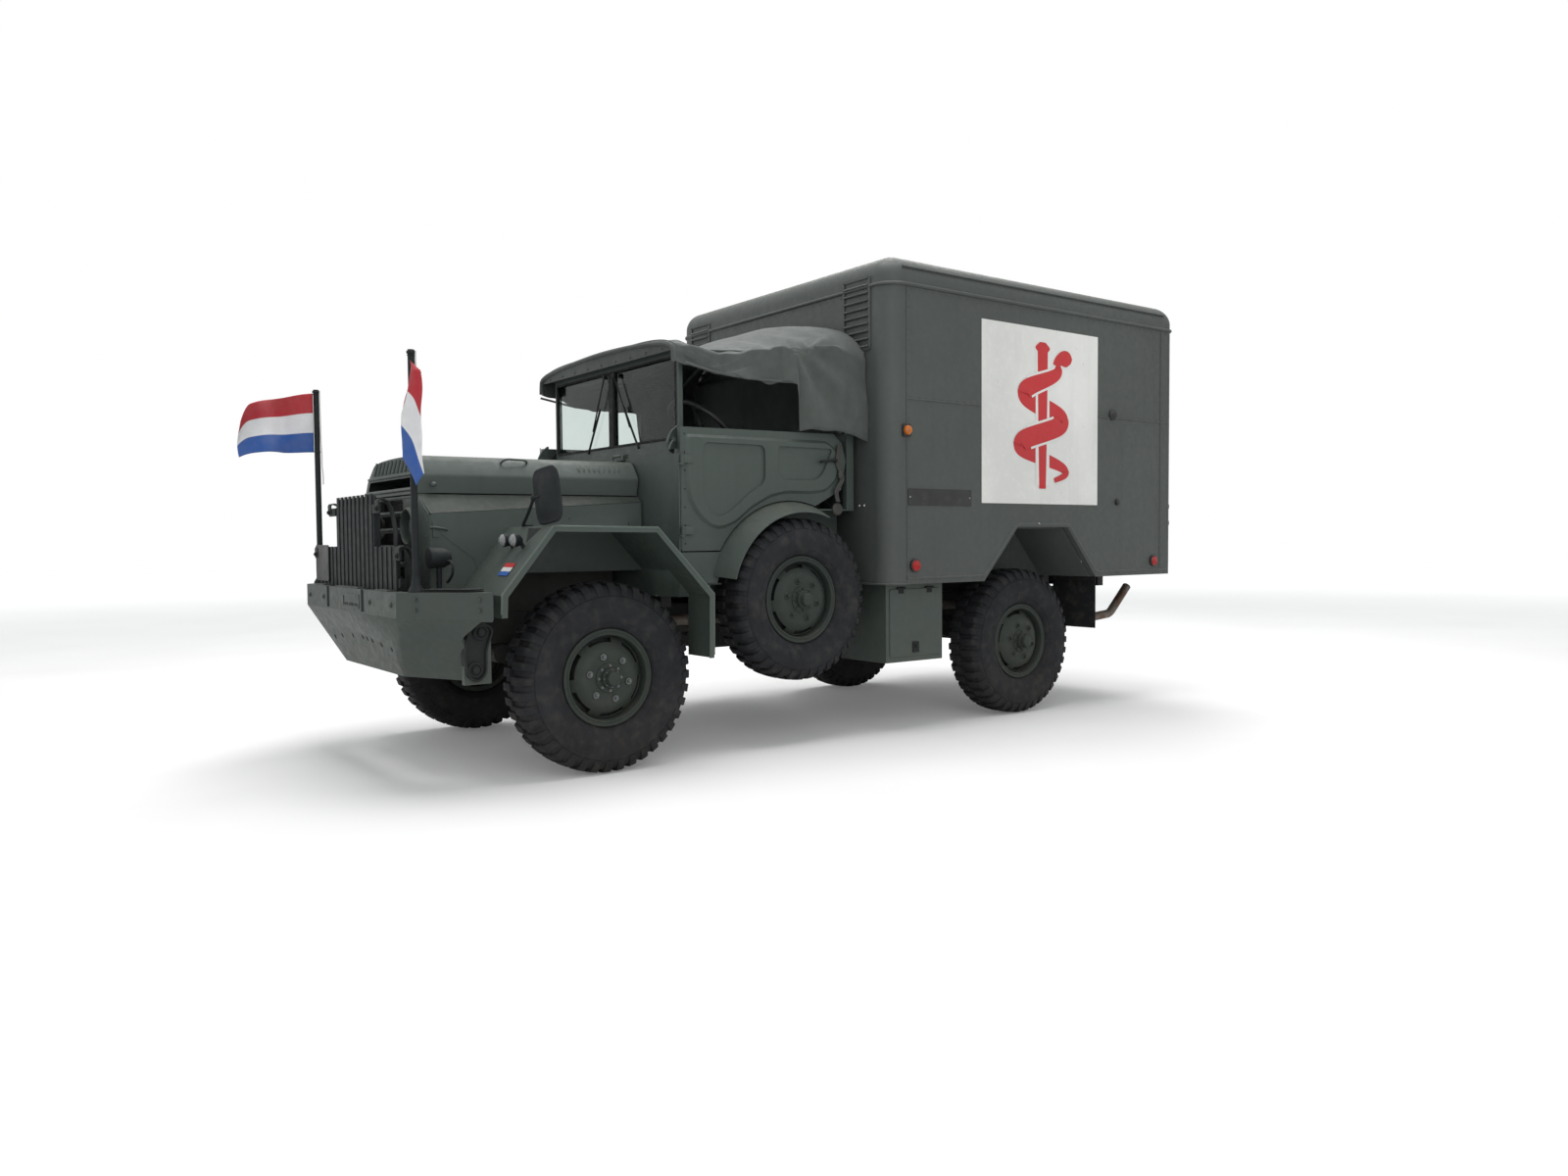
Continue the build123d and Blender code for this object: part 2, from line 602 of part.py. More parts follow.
# Cab doors: half doors whose lower edge follows the spare wheel's arch
door_arc = arch_radius + arch_wall + moving_gap + 1
door_low = 1024
arc_front = (spare_y - sqrt(door_arc ** 2 - (door_low - spare_z) ** 2), door_low)
arc_rear = (ledge_front_y, spare_z + sqrt(door_arc ** 2 - (ledge_front_y - spare_y) ** 2))
arc_top = (spare_y, spare_z + door_arc)
for side, name in SIDES:
    with BuildPart() as door:
        with BuildSketch(Plane.YZ.offset(side * (cab_half - door_thickness))) as face:
            with BuildLine():
                Polyline((door_front_y, door_top - 12), (door_front_y, door_low), arc_front)
                ThreePointArc(arc_front, arc_top, arc_rear)
                Polyline(arc_rear, (door_rear_y - 35, 1344), (door_rear_y, 1500),
                         (door_rear_y - 30, door_top - 47), (door_rear_y - 85, door_top),
                         (door_front_y, door_top - 12))
            make_face()
        extrude(face.sketch, amount=side * door_thickness)
        for level in door_hinge_levels:
            low, high, pin_x = level - 15 + soft_gap, level + hinge_half, side * hinge_x
            rod((pin_x, door_front_y, low), (pin_x, door_front_y, high), barrel_radius)
            block((side * cab_half, side * (hinge_x + 4)), (door_front_y + 6, door_front_y + 60), (low, high))
            rod((pin_x, door_front_y, low - 1), (pin_x, door_front_y, high + 1), pin_radius + running_fit,
                Mode.SUBTRACT)
    door.part.label = f"door_{name}"
    export_step(door.part, f"parts/door_{name}.step")

# Seats: a pedestal and back frame for each, with separate cushions
seat_x = 385
seat_half = 225
seat_front_y = front_axle_y + 1030
seat_rear_y = front_axle_y + 1475
seat_z = 1120
back_top = 1620
seat_pan = 20
with BuildPart() as seat_frames:
    for side in (1, -1):
        x_range = (side * seat_x - seat_half, side * seat_x + seat_half)
        block(x_range, (seat_front_y, seat_rear_y), (seat_z - seat_pan, seat_z))
        for leg_y in (seat_front_y, seat_rear_y - 30):
            block(x_range, (leg_y, leg_y + 30), (cab_floor_z + panel, seat_z - seat_pan))
        block(x_range, (seat_rear_y - seat_pan, seat_rear_y), (seat_z, back_top))
seat_frames.part.label = "seat_frames"
export_step(seat_frames.part, "parts/seat_frames.step")

cushion_thickness = 100
back_thickness = 80
cushion_rear_y = seat_rear_y - seat_pan - soft_gap
with BuildPart() as seat_cushions:
    for side in (1, -1):
        block((side * seat_x - seat_half, side * seat_x + seat_half), (seat_front_y - 15, cushion_rear_y),
              (seat_z + soft_gap, seat_z + cushion_thickness))
    fillet(seat_cushions.edges(), 25)
seat_cushions.part.label = "seat_cushions"
export_step(seat_cushions.part, "parts/seat_cushions.step")

with BuildPart() as seat_backs:
    for side in (1, -1):
        block((side * seat_x - seat_half, side * seat_x + seat_half),
              (cushion_rear_y - back_thickness, cushion_rear_y),
              (seat_z + cushion_thickness + soft_gap, back_top + 20))
    fillet(seat_backs.edges(), 25)
seat_backs.part.label = "seat_backs"
export_step(seat_backs.part, "parts/seat_backs.step")

# Cab canvas: a roof from the windscreen to a taller rear bow, rear quarters and a back panel
canvas_wall = 6
canvas_front_y = windscreen_y - 55
canvas_bow_y = front_axle_y + 1440
canvas_rear_y = box_front_y - soft_gap
quarter_front_y = front_axle_y + 1250
quarter_low = door_top + moving_gap + 2
front_section = ((745, 1935), (742, 2020), (733, 2052), (700, 2063), (0, 2092))
rear_section = ((880, 1900), (858, 1955), (812, 2125), (640, 2240), (0, 2302))
low_section = ((880, quarter_low), (858, 1955), (812, 2125), (640, 2240), (0, 2302))
canvas_steps = ((0, Mode.ADD), (canvas_wall, Mode.SUBTRACT))


def arched_outline(section, inset=0, drop=0):
    """Adds the line of a canvas section: flat foot, straight sides, round shoulders and an arched top."""
    shifts = ((inset, drop), (inset, inset / 2), (0.8 * inset, 0.8 * inset), (inset / 2, inset), (0, inset))
    right = [(x - shift_x, z - shift_z) for (x, z), (shift_x, shift_z) in zip(section, shifts)]
    left = [(-x, z) for x, z in right]
    Polyline(left[1], left[0], right[0], right[1])
    ThreePointArc(right[1], right[2], right[3])
    ThreePointArc(right[3], right[4], left[3])
    ThreePointArc(left[3], left[2], left[1])


with BuildPart() as cab_canvas:
    for inset, mode in canvas_steps:
        faces = []
        ends = ((canvas_front_y - inset, front_section), (canvas_bow_y + inset, rear_section))
        for level_y, section in ends:
            with BuildSketch(Plane.XZ.offset(-level_y)) as outline:
                with BuildLine():
                    arched_outline(section, inset, inset)
                make_face()
            faces.append(outline.sketch.face())
        loft(faces, ruled=True, mode=mode)
    with BuildSketch(Plane.XZ.offset(-canvas_bow_y)) as bow:
        with BuildLine():
            arched_outline(low_section)
        make_face()
        with BuildLine():
            arched_outline(low_section, canvas_wall, canvas_wall)
        make_face(mode=Mode.SUBTRACT)
    extrude(bow.sketch, amount=-(canvas_rear_y - canvas_bow_y))
    with BuildSketch(Plane.XZ.offset(-(canvas_rear_y - canvas_wall))) as back:
        with BuildLine():
            arched_outline(low_section)
        make_face()
    extrude(back.sketch, amount=-canvas_wall)
    for side in (1, -1):
        quarter = [(880, quarter_low), (860, 1955), (860 - canvas_wall, 1955),
                   (880 - canvas_wall, quarter_low)]
        cross_prism(quarter_front_y, canvas_bow_y - quarter_front_y + 1, [(side * x, z) for x, z in quarter])
cab_canvas.part.label = "cab_canvas"
export_step(cab_canvas.part, "parts/cab_canvas.step")

# Hoops under the canvas: a front rail on the windscreen, a rear bow and two stays
hoop_radius = 13
hoop_inset = canvas_wall + soft_gap + hoop_radius
with BuildPart() as canvas_hoops:
    bow_y = canvas_bow_y + hoop_radius + soft_gap
    foot = Vector(low_section[0][0] - hoop_inset - 45, bow_y, waist_z)
    shoulder = Vector(low_section[2][0] - hoop_inset - 10, bow_y, low_section[2][1] - 45)
    crown = Vector(0, bow_y, low_section[4][1] - hoop_inset - 2)
    for side in (1, -1):
        near_shoulder = Vector(side * shoulder.X, bow_y, shoulder.Z)
        rod((side * foot.X, bow_y, foot.Z), near_shoulder, hoop_radius)
        with Locations(near_shoulder):
            Sphere(hoop_radius)
        stay_foot = (side * (windscreen_half - 15), windscreen_y + frame_half + 1.5, windscreen_top - 20)
        rod(stay_foot, near_shoulder, hoop_radius - 4)
    with BuildLine() as bow_path:
        ThreePointArc(shoulder, crown, (-shoulder.X, bow_y, shoulder.Z))
    with BuildSketch(Plane(origin=shoulder, z_dir=bow_path.line % 0)) as tube:
        Circle(hoop_radius)
    sweep(tube.sketch, path=bow_path.wires()[0])
canvas_hoops.part.label = "canvas_hoops"
export_step(canvas_hoops.part, "parts/canvas_hoops.step")

# Box body: front wall with rounded corners, two sides, rear frame, roof and floor
side_front_y = box_front_y + box_corner
side_rear_y = box_rear_y - rear_corner
wheel_arch = [(-500, box_low), (-215, 1140), (238, 1140), (510, box_low)]
with BuildPart() as box_front:
    with BuildSketch(Plane.XY.offset(box_low)):
        with Locations((0, side_front_y)):
            Rectangle(body_width, 2 * box_corner)
        fillet(vertices().group_by(Axis.Y)[0], box_corner)
        offset(amount=-box_wall, mode=Mode.SUBTRACT)
        with Locations((0, side_front_y + box_corner / 2)):
            Rectangle(body_width + 2, box_corner, mode=Mode.SUBTRACT)
    extrude(amount=box_side_top - box_low)
box_front.part.label = "box_front"
export_step(box_front.part, "parts/box_front.step")

for side, name in SIDES:
    with BuildPart() as box_side:
        block((side * half_width, side * (half_width - box_wall)), (side_front_y, side_rear_y),
              (box_low, box_side_top))
        arch_cut = [(wheel_arch[0][0], box_low - 1)] + wheel_arch + [(wheel_arch[-1][0], box_low - 1)]
        side_prism(side * (half_width - box_wall - 1), side * (box_wall + 2), along(arch_cut, rear_axle_y),
                   Mode.SUBTRACT)
    box_side.part.label = f"box_side_{name}"
    export_step(box_side.part, f"parts/box_side_{name}.step")

with BuildPart() as box_rear_frame:
    with BuildSketch(Plane.XY.offset(box_low)):
        with Locations((0, side_rear_y)):
            Rectangle(body_width, 2 * rear_corner)
        fillet(vertices().group_by(Axis.Y)[-1], rear_corner - 1)
        with Locations((0, side_rear_y - rear_corner / 2)):
            Rectangle(body_width + 2, rear_corner, mode=Mode.SUBTRACT)
        with Locations((0, side_rear_y)):
            Rectangle(body_width - 2 * box_wall, 2 * (rear_corner - box_wall), mode=Mode.SUBTRACT)
    extrude(amount=box_side_top - box_low)
    block((-rear_opening_half, rear_opening_half), (side_rear_y - 1, box_rear_y + 1),
          (rear_opening_low, rear_opening_high), Mode.SUBTRACT)
    rear_hinge_x = rear_opening_half + 6
    rear_hinge_y = box_rear_y + 14
    rear_hinge_levels = (1000, 1440, 2260)
    rear_hinge_half = 30
    for side in (1, -1):
        for level in rear_hinge_levels:
            pin_x = side * rear_hinge_x
            foot = (level - rear_hinge_half - 15, level - rear_hinge_half)
            rod((pin_x, rear_hinge_y, foot[0]), (pin_x, rear_hinge_y, level + rear_hinge_half), pin_radius)
            rod((pin_x, rear_hinge_y, foot[0]), (pin_x, rear_hinge_y, foot[1]), barrel_radius)
            block((pin_x, pin_x + side * 40), (box_rear_y, rear_hinge_y), foot)
box_rear_frame.part.label = "box_rear_frame"
export_step(box_rear_frame.part, "parts/box_rear_frame.step")

roof_wall = 40
roof_radius = box_corner - 5
with BuildPart() as box_roof:
    with BuildSketch(Plane.XY.offset(box_side_top)):
        with Locations((0, (box_front_y + box_rear_y) / 2)):
            Rectangle(body_width, box_length)
        fillet(vertices().group_by(Axis.Y)[0], box_corner)
        fillet(vertices().group_by(Axis.Y)[-1], rear_corner)
    extrude(amount=box_top - box_side_top)
    roof_edges = box_roof.edges().group_by(Axis.Z)[-1]
    fillet(roof_edges, roof_radius)
    block((-half_width + box_wall, half_width - box_wall), (box_front_y + box_wall, box_rear_y - box_wall),
          (box_side_top - 1, box_top - 2 * roof_wall), Mode.SUBTRACT)
box_roof.part.label = "box_roof"
export_step(box_roof.part, "parts/box_roof.step")

housing_x = 600
housing_wall = 6
housing_top = wheel_arch[1][1] - housing_wall
with BuildPart() as box_floor:
    floor_half = half_width - box_wall
    with BuildSketch(Plane.XY.offset(box_low)):
        with Locations((0, (box_front_y + box_wall + side_rear_y) / 2)):
            Rectangle(2 * floor_half, side_rear_y - box_front_y - box_wall)
        fillet(vertices().group_by(Axis.Y)[0], box_corner - box_wall)
    extrude(amount=floor_thickness)
    for side in (1, -1):
        housing_depth = floor_half - housing_x
        side_prism(side * housing_x, side * housing_depth, along(wheel_arch, rear_axle_y))
        inner_arch = [(wheel_arch[0][0] + 8, box_low - 1), (wheel_arch[1][0] + 3, housing_top),
                      (wheel_arch[2][0] - 3, housing_top), (wheel_arch[3][0] - 8, box_low - 1)]
        side_prism(side * (housing_x + housing_wall), side * housing_depth, along(inner_arch, rear_axle_y),
                   Mode.SUBTRACT)
box_floor.part.label = "box_floor"
export_step(box_floor.part, "parts/box_floor.step")

# Rear doors: two leaves with a window each
window_x = (250, 690)
window_z = (1700, 2150)
for side, name in SIDES:
    with BuildPart() as rear_door:
        inner_y = box_rear_y - rear_door_thickness
        block((side * moving_gap / 2, side * (rear_opening_half - moving_gap)), (inner_y, box_rear_y),
              (rear_opening_low + moving_gap, rear_opening_high - moving_gap))
        block([side * x for x in window_x], (inner_y - 1, box_rear_y + 1), window_z, Mode.SUBTRACT)
        pin_x = side * rear_hinge_x
        for level in rear_hinge_levels:
            low, high = level - rear_hinge_half + soft_gap, level + rear_hinge_half
            rod((pin_x, rear_hinge_y, low), (pin_x, rear_hinge_y, high), barrel_radius)
            block((pin_x - side * 12, pin_x - side * 60), (box_rear_y, rear_hinge_y), (low, high))
            block((pin_x - side * 12, pin_x), (rear_hinge_y - 6, rear_hinge_y), (low, high))
            rod((pin_x, rear_hinge_y, low - 1), (pin_x, rear_hinge_y, high + 1), pin_radius + running_fit,
                Mode.SUBTRACT)
    rear_door.part.label = f"rear_door_{name}"
    export_step(rear_door.part, f"parts/rear_door_{name}.step")

# Rear step below the doors, hung from the box floor
step_half = 350
step_z = (520, 545)
with BuildPart() as rear_step:
    block((-step_half, step_half), (box_rear_y - 145, box_rear_y - 5), step_z)
    for side in (1, -1):
        hanger_x = (side * (step_half - 50), side * (step_half - 10))
        block(hanger_x, (box_rear_y - 80, side_rear_y), (step_z[1], box_low))
rear_step.part.label = "rear_step"
export_step(rear_step.part, "parts/rear_step.step")

# Mudflaps behind the rear wheels and the exhaust pipe with its silencer
flap_y = front_axle_y + 3450
flap_bottom = 495
with BuildPart() as mudflaps:
    for side in (1, -1):
        block((side * 620, side * 960), (flap_y, flap_y + 8), (flap_bottom, box_low))
mudflaps.part.label = "mudflaps"
export_step(mudflaps.part, "parts/mudflaps.step")

pipe_radius = 28
pipe_x = 470
pipe_z = 660
silencer_radius = 65
silencer_y = (front_axle_y + 1180, front_axle_y + 1640)
tail_x = 750
pipe_points = [(pipe_x, front_axle_y + 500, pipe_z), (pipe_x, front_axle_y + 3400, pipe_z),
               (tail_x, front_axle_y + 3700, 545), (tail_x, front_axle_y + 3880, 560),
               (tail_x, front_axle_y + 4070, 740)]
with BuildPart() as exhaust_pipe:
    with BuildLine() as pipe_path:
        FilletPolyline(*pipe_points, radius=90)
    with BuildSketch(Plane(origin=pipe_points[0], z_dir=(0, 1, 0))) as ring:
        Circle(pipe_radius)
    sweep(ring.sketch, path=pipe_path.wires()[0])
    rod((pipe_x, silencer_y[0], pipe_z), (pipe_x, silencer_y[1], pipe_z), silencer_radius)
    for hanger_y in (silencer_y[0] + 80, silencer_y[1] - 80):
        block((rail_half, pipe_x), (hanger_y - 15, hanger_y + 15), (pipe_z, pipe_z + 40))
exhaust_pipe.part.label = "exhaust_pipe"
export_step(exhaust_pipe.part, "parts/exhaust_pipe.step")

# Lockers under the box, ahead of the rear wheels
locker_x = (box_bearer_x + 5, 950)
locker_y = (front_axle_y + 1660, min(front_axle_y + 2090, rear_axle_y - tyre_radius - 100))
locker_low = 395
with BuildPart() as side_lockers:
    for side in (1, -1):
        block((side * locker_x[0], side * locker_x[1]), locker_y, (locker_low, box_low))
side_lockers.part.label = "side_lockers"
export_step(side_lockers.part, "parts/side_lockers.step")

# Fuel tank between the rails behind the rear axle, under the cross-members
tank_half = 300
tank_y = (rear_axle_y + 430, rear_axle_y + 1160)
tank_z = (425, rail_low + 20)
with BuildPart() as fuel_tank:
    block((-tank_half, tank_half), tank_y, tank_z)
    fillet(fuel_tank.edges().filter_by(Axis.X), 40)
fuel_tank.part.label = "fuel_tank"
export_step(fuel_tank.part, "parts/fuel_tank.step")

# Stretcher racks: two shelves on each side wall
rack_levels = (1260, 1860)
rack_inner_x = 480
rack_thickness = 40
rack_y = (box_front_y + 200, box_front_y + 2250)
with BuildPart() as stretcher_racks:
    for side in (1, -1):
        for level in rack_levels:
            rack_x = (side * rack_inner_x, side * (half_width - box_wall))
            block(rack_x, rack_y, (level, level + rack_thickness))
stretcher_racks.part.label = "stretcher_racks"
export_step(stretcher_racks.part, "parts/stretcher_racks.step")

# Mirrors on arms from the mudguards
mirror_x = 975
mirror_y = front_axle_y - 340
mirror_z = 1285
mirror_foot_z = 1147.6
with BuildPart() as mirrors:
    for side in (1, -1):
        arm_foot = (side * (mirror_x - 20), mirror_y + 40, mirror_foot_z)
        rod(arm_foot, (side * mirror_x, mirror_y, mirror_z - 25), 7)
        with BuildSketch(Plane.XZ.offset(-mirror_y)) as glass:
            with Locations((side * mirror_x, mirror_z)):
                Ellipse(70, 120)
        extrude(glass.sketch, amount=-14)
mirrors.part.label = "mirrors"
export_step(mirrors.part, "parts/mirrors.step")

# Flag poles on the bumper's wings, with a flag on each
pole_x = 754
pole_y = front_axle_y - 840
pole_top = 1887
pole_radius = 14.5
flag_top = pole_top - 20
with BuildPart() as flag_poles:
    for side in (1, -1):
        rod((side * pole_x, pole_y, bumper_top), (side * pole_x, pole_y, pole_top), pole_radius)
flag_poles.part.label = "flag_poles"
export_step(flag_poles.part, "parts/flag_poles.step")

flag_hoist = 310
limp_length = 500
with BuildPart() as flag_right:
    block((-pole_x - 3, -pole_x + 3), (front_axle_y - front_reach, pole_y - pole_radius - soft_gap),
          (flag_top - flag_hoist, flag_top))
flag_right.part.label = "flag_right"
export_step(flag_right.part, "parts/flag_right.step")

with BuildPart() as flag_left:
    block((pole_x - 25, pole_x + 25), (pole_y + pole_radius + soft_gap, pole_y + pole_radius + 100),
          (flag_top - limp_length, flag_top))
flag_left.part.label = "flag_left"
export_step(flag_left.part, "parts/flag_left.step")
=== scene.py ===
"""Military ambulance truck: its looks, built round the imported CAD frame.

Metres. +Z is up from the ground, the front faces -Y and the truck's left side is +X.
"""
import json
from math import atan2, cos, exp, pi, radians, sin

import bmesh
import bpy
from mathutils import Matrix, Vector, noise

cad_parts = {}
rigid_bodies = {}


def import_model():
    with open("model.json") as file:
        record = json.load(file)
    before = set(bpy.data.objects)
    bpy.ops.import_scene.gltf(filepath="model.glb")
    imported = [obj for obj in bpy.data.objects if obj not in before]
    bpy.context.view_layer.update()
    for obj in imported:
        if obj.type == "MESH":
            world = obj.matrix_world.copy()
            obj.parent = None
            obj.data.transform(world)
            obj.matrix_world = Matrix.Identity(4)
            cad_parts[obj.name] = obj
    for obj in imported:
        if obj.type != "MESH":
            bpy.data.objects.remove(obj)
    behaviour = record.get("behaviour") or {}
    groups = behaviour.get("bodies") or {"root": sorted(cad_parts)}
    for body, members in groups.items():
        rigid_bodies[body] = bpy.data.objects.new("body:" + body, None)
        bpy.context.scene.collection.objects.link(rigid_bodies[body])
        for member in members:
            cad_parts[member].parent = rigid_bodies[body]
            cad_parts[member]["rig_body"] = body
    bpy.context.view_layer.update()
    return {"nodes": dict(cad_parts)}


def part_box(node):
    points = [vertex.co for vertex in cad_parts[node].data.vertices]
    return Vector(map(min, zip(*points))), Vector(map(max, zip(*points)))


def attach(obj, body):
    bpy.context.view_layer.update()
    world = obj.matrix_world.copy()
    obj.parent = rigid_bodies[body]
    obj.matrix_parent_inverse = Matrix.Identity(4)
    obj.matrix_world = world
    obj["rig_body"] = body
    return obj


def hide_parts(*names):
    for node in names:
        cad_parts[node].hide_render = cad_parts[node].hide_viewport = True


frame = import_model()
nodes = frame["nodes"]

bl_info = {
    "name": "Military ambulance truck",
    "version": (1, 0, 0),
    "blender": (4, 5, 0),
    "location": "3D View > Sidebar > Truck",
    "description": "Builds the visible pieces of a military ambulance truck round its CAD frame",
    "category": "Object",
}

HANDS = (1, -1)
SIDES = ((1, "left"), (-1, "right"))
AXIS_X, AXIS_Y, AXIS_Z = Vector((1, 0, 0)), Vector((0, 1, 0)), Vector((0, 0, 1))
FRONT_AXLE_Y = sum(corner.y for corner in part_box("tyre_front_left")) / 2


def fa(y):
    """A place given behind the front axle, in the frame's own Y."""
    return FRONT_AXLE_Y + y


def at(side, x, y, z):
    """A point on the left (1) or right (-1) side, given behind the front axle."""
    return side * x, fa(y), z


def paired(side, points):
    """Points on one side, given behind the front axle."""
    return [at(side, *point) for point in points]


def behind(points):
    """(y, z) points given behind the front axle, in the frame's own Y."""
    return [(fa(y), z) for y, z in points]


def shade(red, green, blue):
    """A screen colour, 0 to 255 a channel, as the linear colour that a shader takes."""
    channels = [c / 255 for c in (red, green, blue)]
    return tuple(c / 12.92 if c <= 0.04 else ((c + 0.055) / 1.055) ** 2.4 for c in channels)


def lifted(colour, factor):
    """The colour with its channels scaled, and an alpha of one."""
    return tuple(min(1.0, c * factor) for c in colour[:3]) + (1.0,)


def opaque(red, green, blue):
    """A screen colour with an alpha of one."""
    return shade(red, green, blue) + (1.0,)


DUST, MUD, PRIMER = opaque(142, 136, 122), opaque(96, 86, 72), opaque(44, 40, 38)
RUST = opaque(94, 58, 38)


# Materials

class Recipe:
    """Lays out one material's nodes."""

    def __init__(self, name):
        self.material = bpy.data.materials.new(name)
        self.material.use_nodes = True
        self.tree = self.material.node_tree
        self.tree.nodes.clear()
        self.shader = self.add("BsdfPrincipled")
        output = self.add("OutputMaterial")
        self.tree.links.new(self.shader.outputs[0], output.inputs[0])
        self.place = self.add("TexCoord")
        self.here = self.place.outputs["Object"]

    def add(self, kind, values=None, **settings):
        """Adds a node, with its settings, and its inputs as numbers or links."""
        node = self.tree.nodes.new("ShaderNode" + kind)
        for key, value in settings.items():
            setattr(node, key, value)
        for key, value in (values or {}).items():
            self.put(node.inputs[key], value)
        return node

    def put(self, socket, value):
        """Links a socket to another one, or sets its number."""
        if isinstance(value, bpy.types.NodeSocket):
            self.tree.links.new(value, socket)
        else:
            socket.default_value = value

    def set(self, **values):
        """Sets the shader's sockets, named with _ for a space."""
        for key, value in values.items():
            self.put(self.shader.inputs[key.replace("_", " ")], value)

    def cloud(self, scale, detail=3.0, stretch=(1, 1, 1), source=None):
        """Noise over the piece, drawn out along an axis where stretch is small."""
        placed = self.add("Mapping", {"Vector": source or self.here, "Scale": stretch}).outputs[0]
        made = self.add("TexNoise", {"Vector": placed, "Scale": scale, "Detail": detail})
        return made.outputs[0]

    def between(self, value, low, high, start=0.0, end=1.0):
        """Maps low to high onto start to end, and holds it there."""
        values = {"Value": value, "From Min": low, "From Max": high, "To Min": start, "To Max": end}
        return self.add("MapRange", values).outputs[0]

    def mottled(self, colour, scale, detail, low, high, dark, light):
        """A colour that wanders between a darker and a lighter tone of itself."""
        return self.blend(self.between(self.cloud(scale, detail), low, high), lifted(colour, dark), lifted(colour,
            light))

    def over(self, tone, other, scale, detail, low, high, most):
        """Lays patches of another colour over a tone, up to a share of it."""
        return self.blend(self.between(self.cloud(scale, detail), low, high, 0, most), tone, other)

    def patchy(self, scale, detail, low, high):
        """A value that wanders between two others over the piece."""
        return self.between(self.cloud(scale, detail), 0.3, 0.7, low, high)

    def sum(self, operation, first, second=0.5):
        """One sum of two values."""
        return self.add("Math", {0: first, 1: second}, operation=operation).outputs[0]

    def blend(self, factor, first, second):
        """Mixes two colours."""
        values = {0: factor, 6: first, 7: second}
        return self.add("Mix", values, data_type="RGBA").outputs[2]

    def part(self, vector, axis):
        """One axis of a vector."""
        return self.add("SeparateXYZ", {0: vector}).outputs[axis]

    def relief(self, height, distance, strength=1.0, under=None):
        """Turns a height into a bump, over another bump if there is one."""
        values = {"Height": height, "Distance": distance, "Strength": strength}
        if under is not None:
            values["Normal"] = under
        return self.add("Bump", values).outputs[0]


def painted(name, colour, rough=0.52, grime=1.0, chips=1.0, gloss=0.5):
    """Brushed and weathered army paint: clouded tone, rain streaks, dust on top, mud low down and chips."""
    mix = Recipe(name)
    fine = mix.cloud(31, 5)
    tone = mix.mottled(colour, 1.4, 4, 0.32, 0.68, 0.9, 1.1)
    tone = mix.blend(mix.between(fine, 0.5, 0.75, 0, 0.16), tone, lifted(colour, 1.35))
    rain = mix.between(mix.cloud(2.4, 4, (7, 7, 0.45)), 0.54, 0.78, 0, 0.3 * grime)
    tone = mix.blend(rain, tone, lifted(colour, 0.62))
    up = mix.between(mix.part(mix.place.outputs["Normal"], 2), 0.5, 0.95)
    dust = mix.sum("MULTIPLY", up, mix.between(mix.cloud(14, 7), 0.3, 0.8, 0.05, 0.2 * grime))
    tone = mix.blend(dust, tone, DUST)
    low = mix.between(mix.part(mix.here, 2), 1.0, 0.3)
    splash = mix.sum("MULTIPLY", low, mix.between(mix.cloud(8, 6), 0.4, 0.7, 0.03, 0.3 * grime))
    tone = mix.blend(splash, tone, MUD)
    spots = mix.between(mix.cloud(85, 2), 0.71, 0.73, 0, 0.85)
    chipped = mix.sum("MULTIPLY", spots, mix.between(mix.cloud(5, 2), 0.52, 0.62, 0, chips))
    tone = mix.blend(chipped, tone, PRIMER)
    matt = mix.sum("ADD", mix.between(fine, 0.3, 0.7, rough - 0.08, rough + 0.1), mix.sum("MULTIPLY", mix.sum("ADD",
        dust, splash), 0.45))
    peel = mix.relief(mix.cloud(240, 2), 0.0004, 0.35)
    mix.set(Base_Color=tone, Roughness=matt, Normal=mix.relief(mix.cloud(3.2, 2), 0.006, 0.35, peel))
    mix.shader.inputs["Specular IOR Level"].default_value = gloss
    return mix


def rubber(name, colour, dusty=0.5):
    """Worn rubber with dust in its pores."""
    mix = Recipe(name)
    tone = mix.mottled(colour, 7, 5, 0.35, 0.7, 0.86, 1.16)
    tone = mix.over(tone, DUST, 19, 6, 0.5, 0.78, 0.3 * dusty)
    low = mix.sum("MULTIPLY", mix.between(mix.part(mix.here, 2), 0.5, 0.02), mix.between(mix.cloud(12, 5), 0.42, 0.66,
        0.05, 0.5 * dusty))
    tone = mix.blend(low, tone, MUD)
    mix.set(Base_Color=tone, Roughness=mix.patchy(23, 4, 0.7, 0.9), Normal=mix.relief(mix.cloud(160, 3), 0.001, 0.5))
    mix.shader.inputs["Specular IOR Level"].default_value = 0.22
    return mix


def metal(name, colour, rough, rust, metallic):
    """Bare metal, brushed by use, with rust in patches."""
    mix = Recipe(name)
    patch = mix.between(mix.cloud(11, 6), 0.46, 0.62, 0, rust)
    tone = mix.blend(patch, lifted(colour, 1), RUST)
    tone = mix.over(tone, lifted(colour, 0.6), 90, 3, 0.45, 0.7, 0.25)
    mix.set(Base_Color=tone, Metallic=metallic, Roughness=mix.patchy(33, 4, rough, rough + 0.25),
        Normal=mix.relief(mix.cloud(120, 4), 0.0008, 0.4))
    return mix


def coated(name, colour, rough, grain, height):
    """Plastic, coated cloth or leather with a pressed grain."""
    mix = Recipe(name)
    cells = mix.add("TexVoronoi", {"Vector": mix.here, "Scale": grain}).outputs[0]
    tone = mix.mottled(colour, 5, 5, 0.35, 0.7, 0.8, 1.2)
    tone = mix.over(tone, DUST, 15, 5, 0.54, 0.74, 0.08)
    mix.set(Base_Color=tone, Roughness=mix.patchy(9, 4, rough, rough + 0.2), Normal=mix.relief(cells, height, 0.5))
    return mix


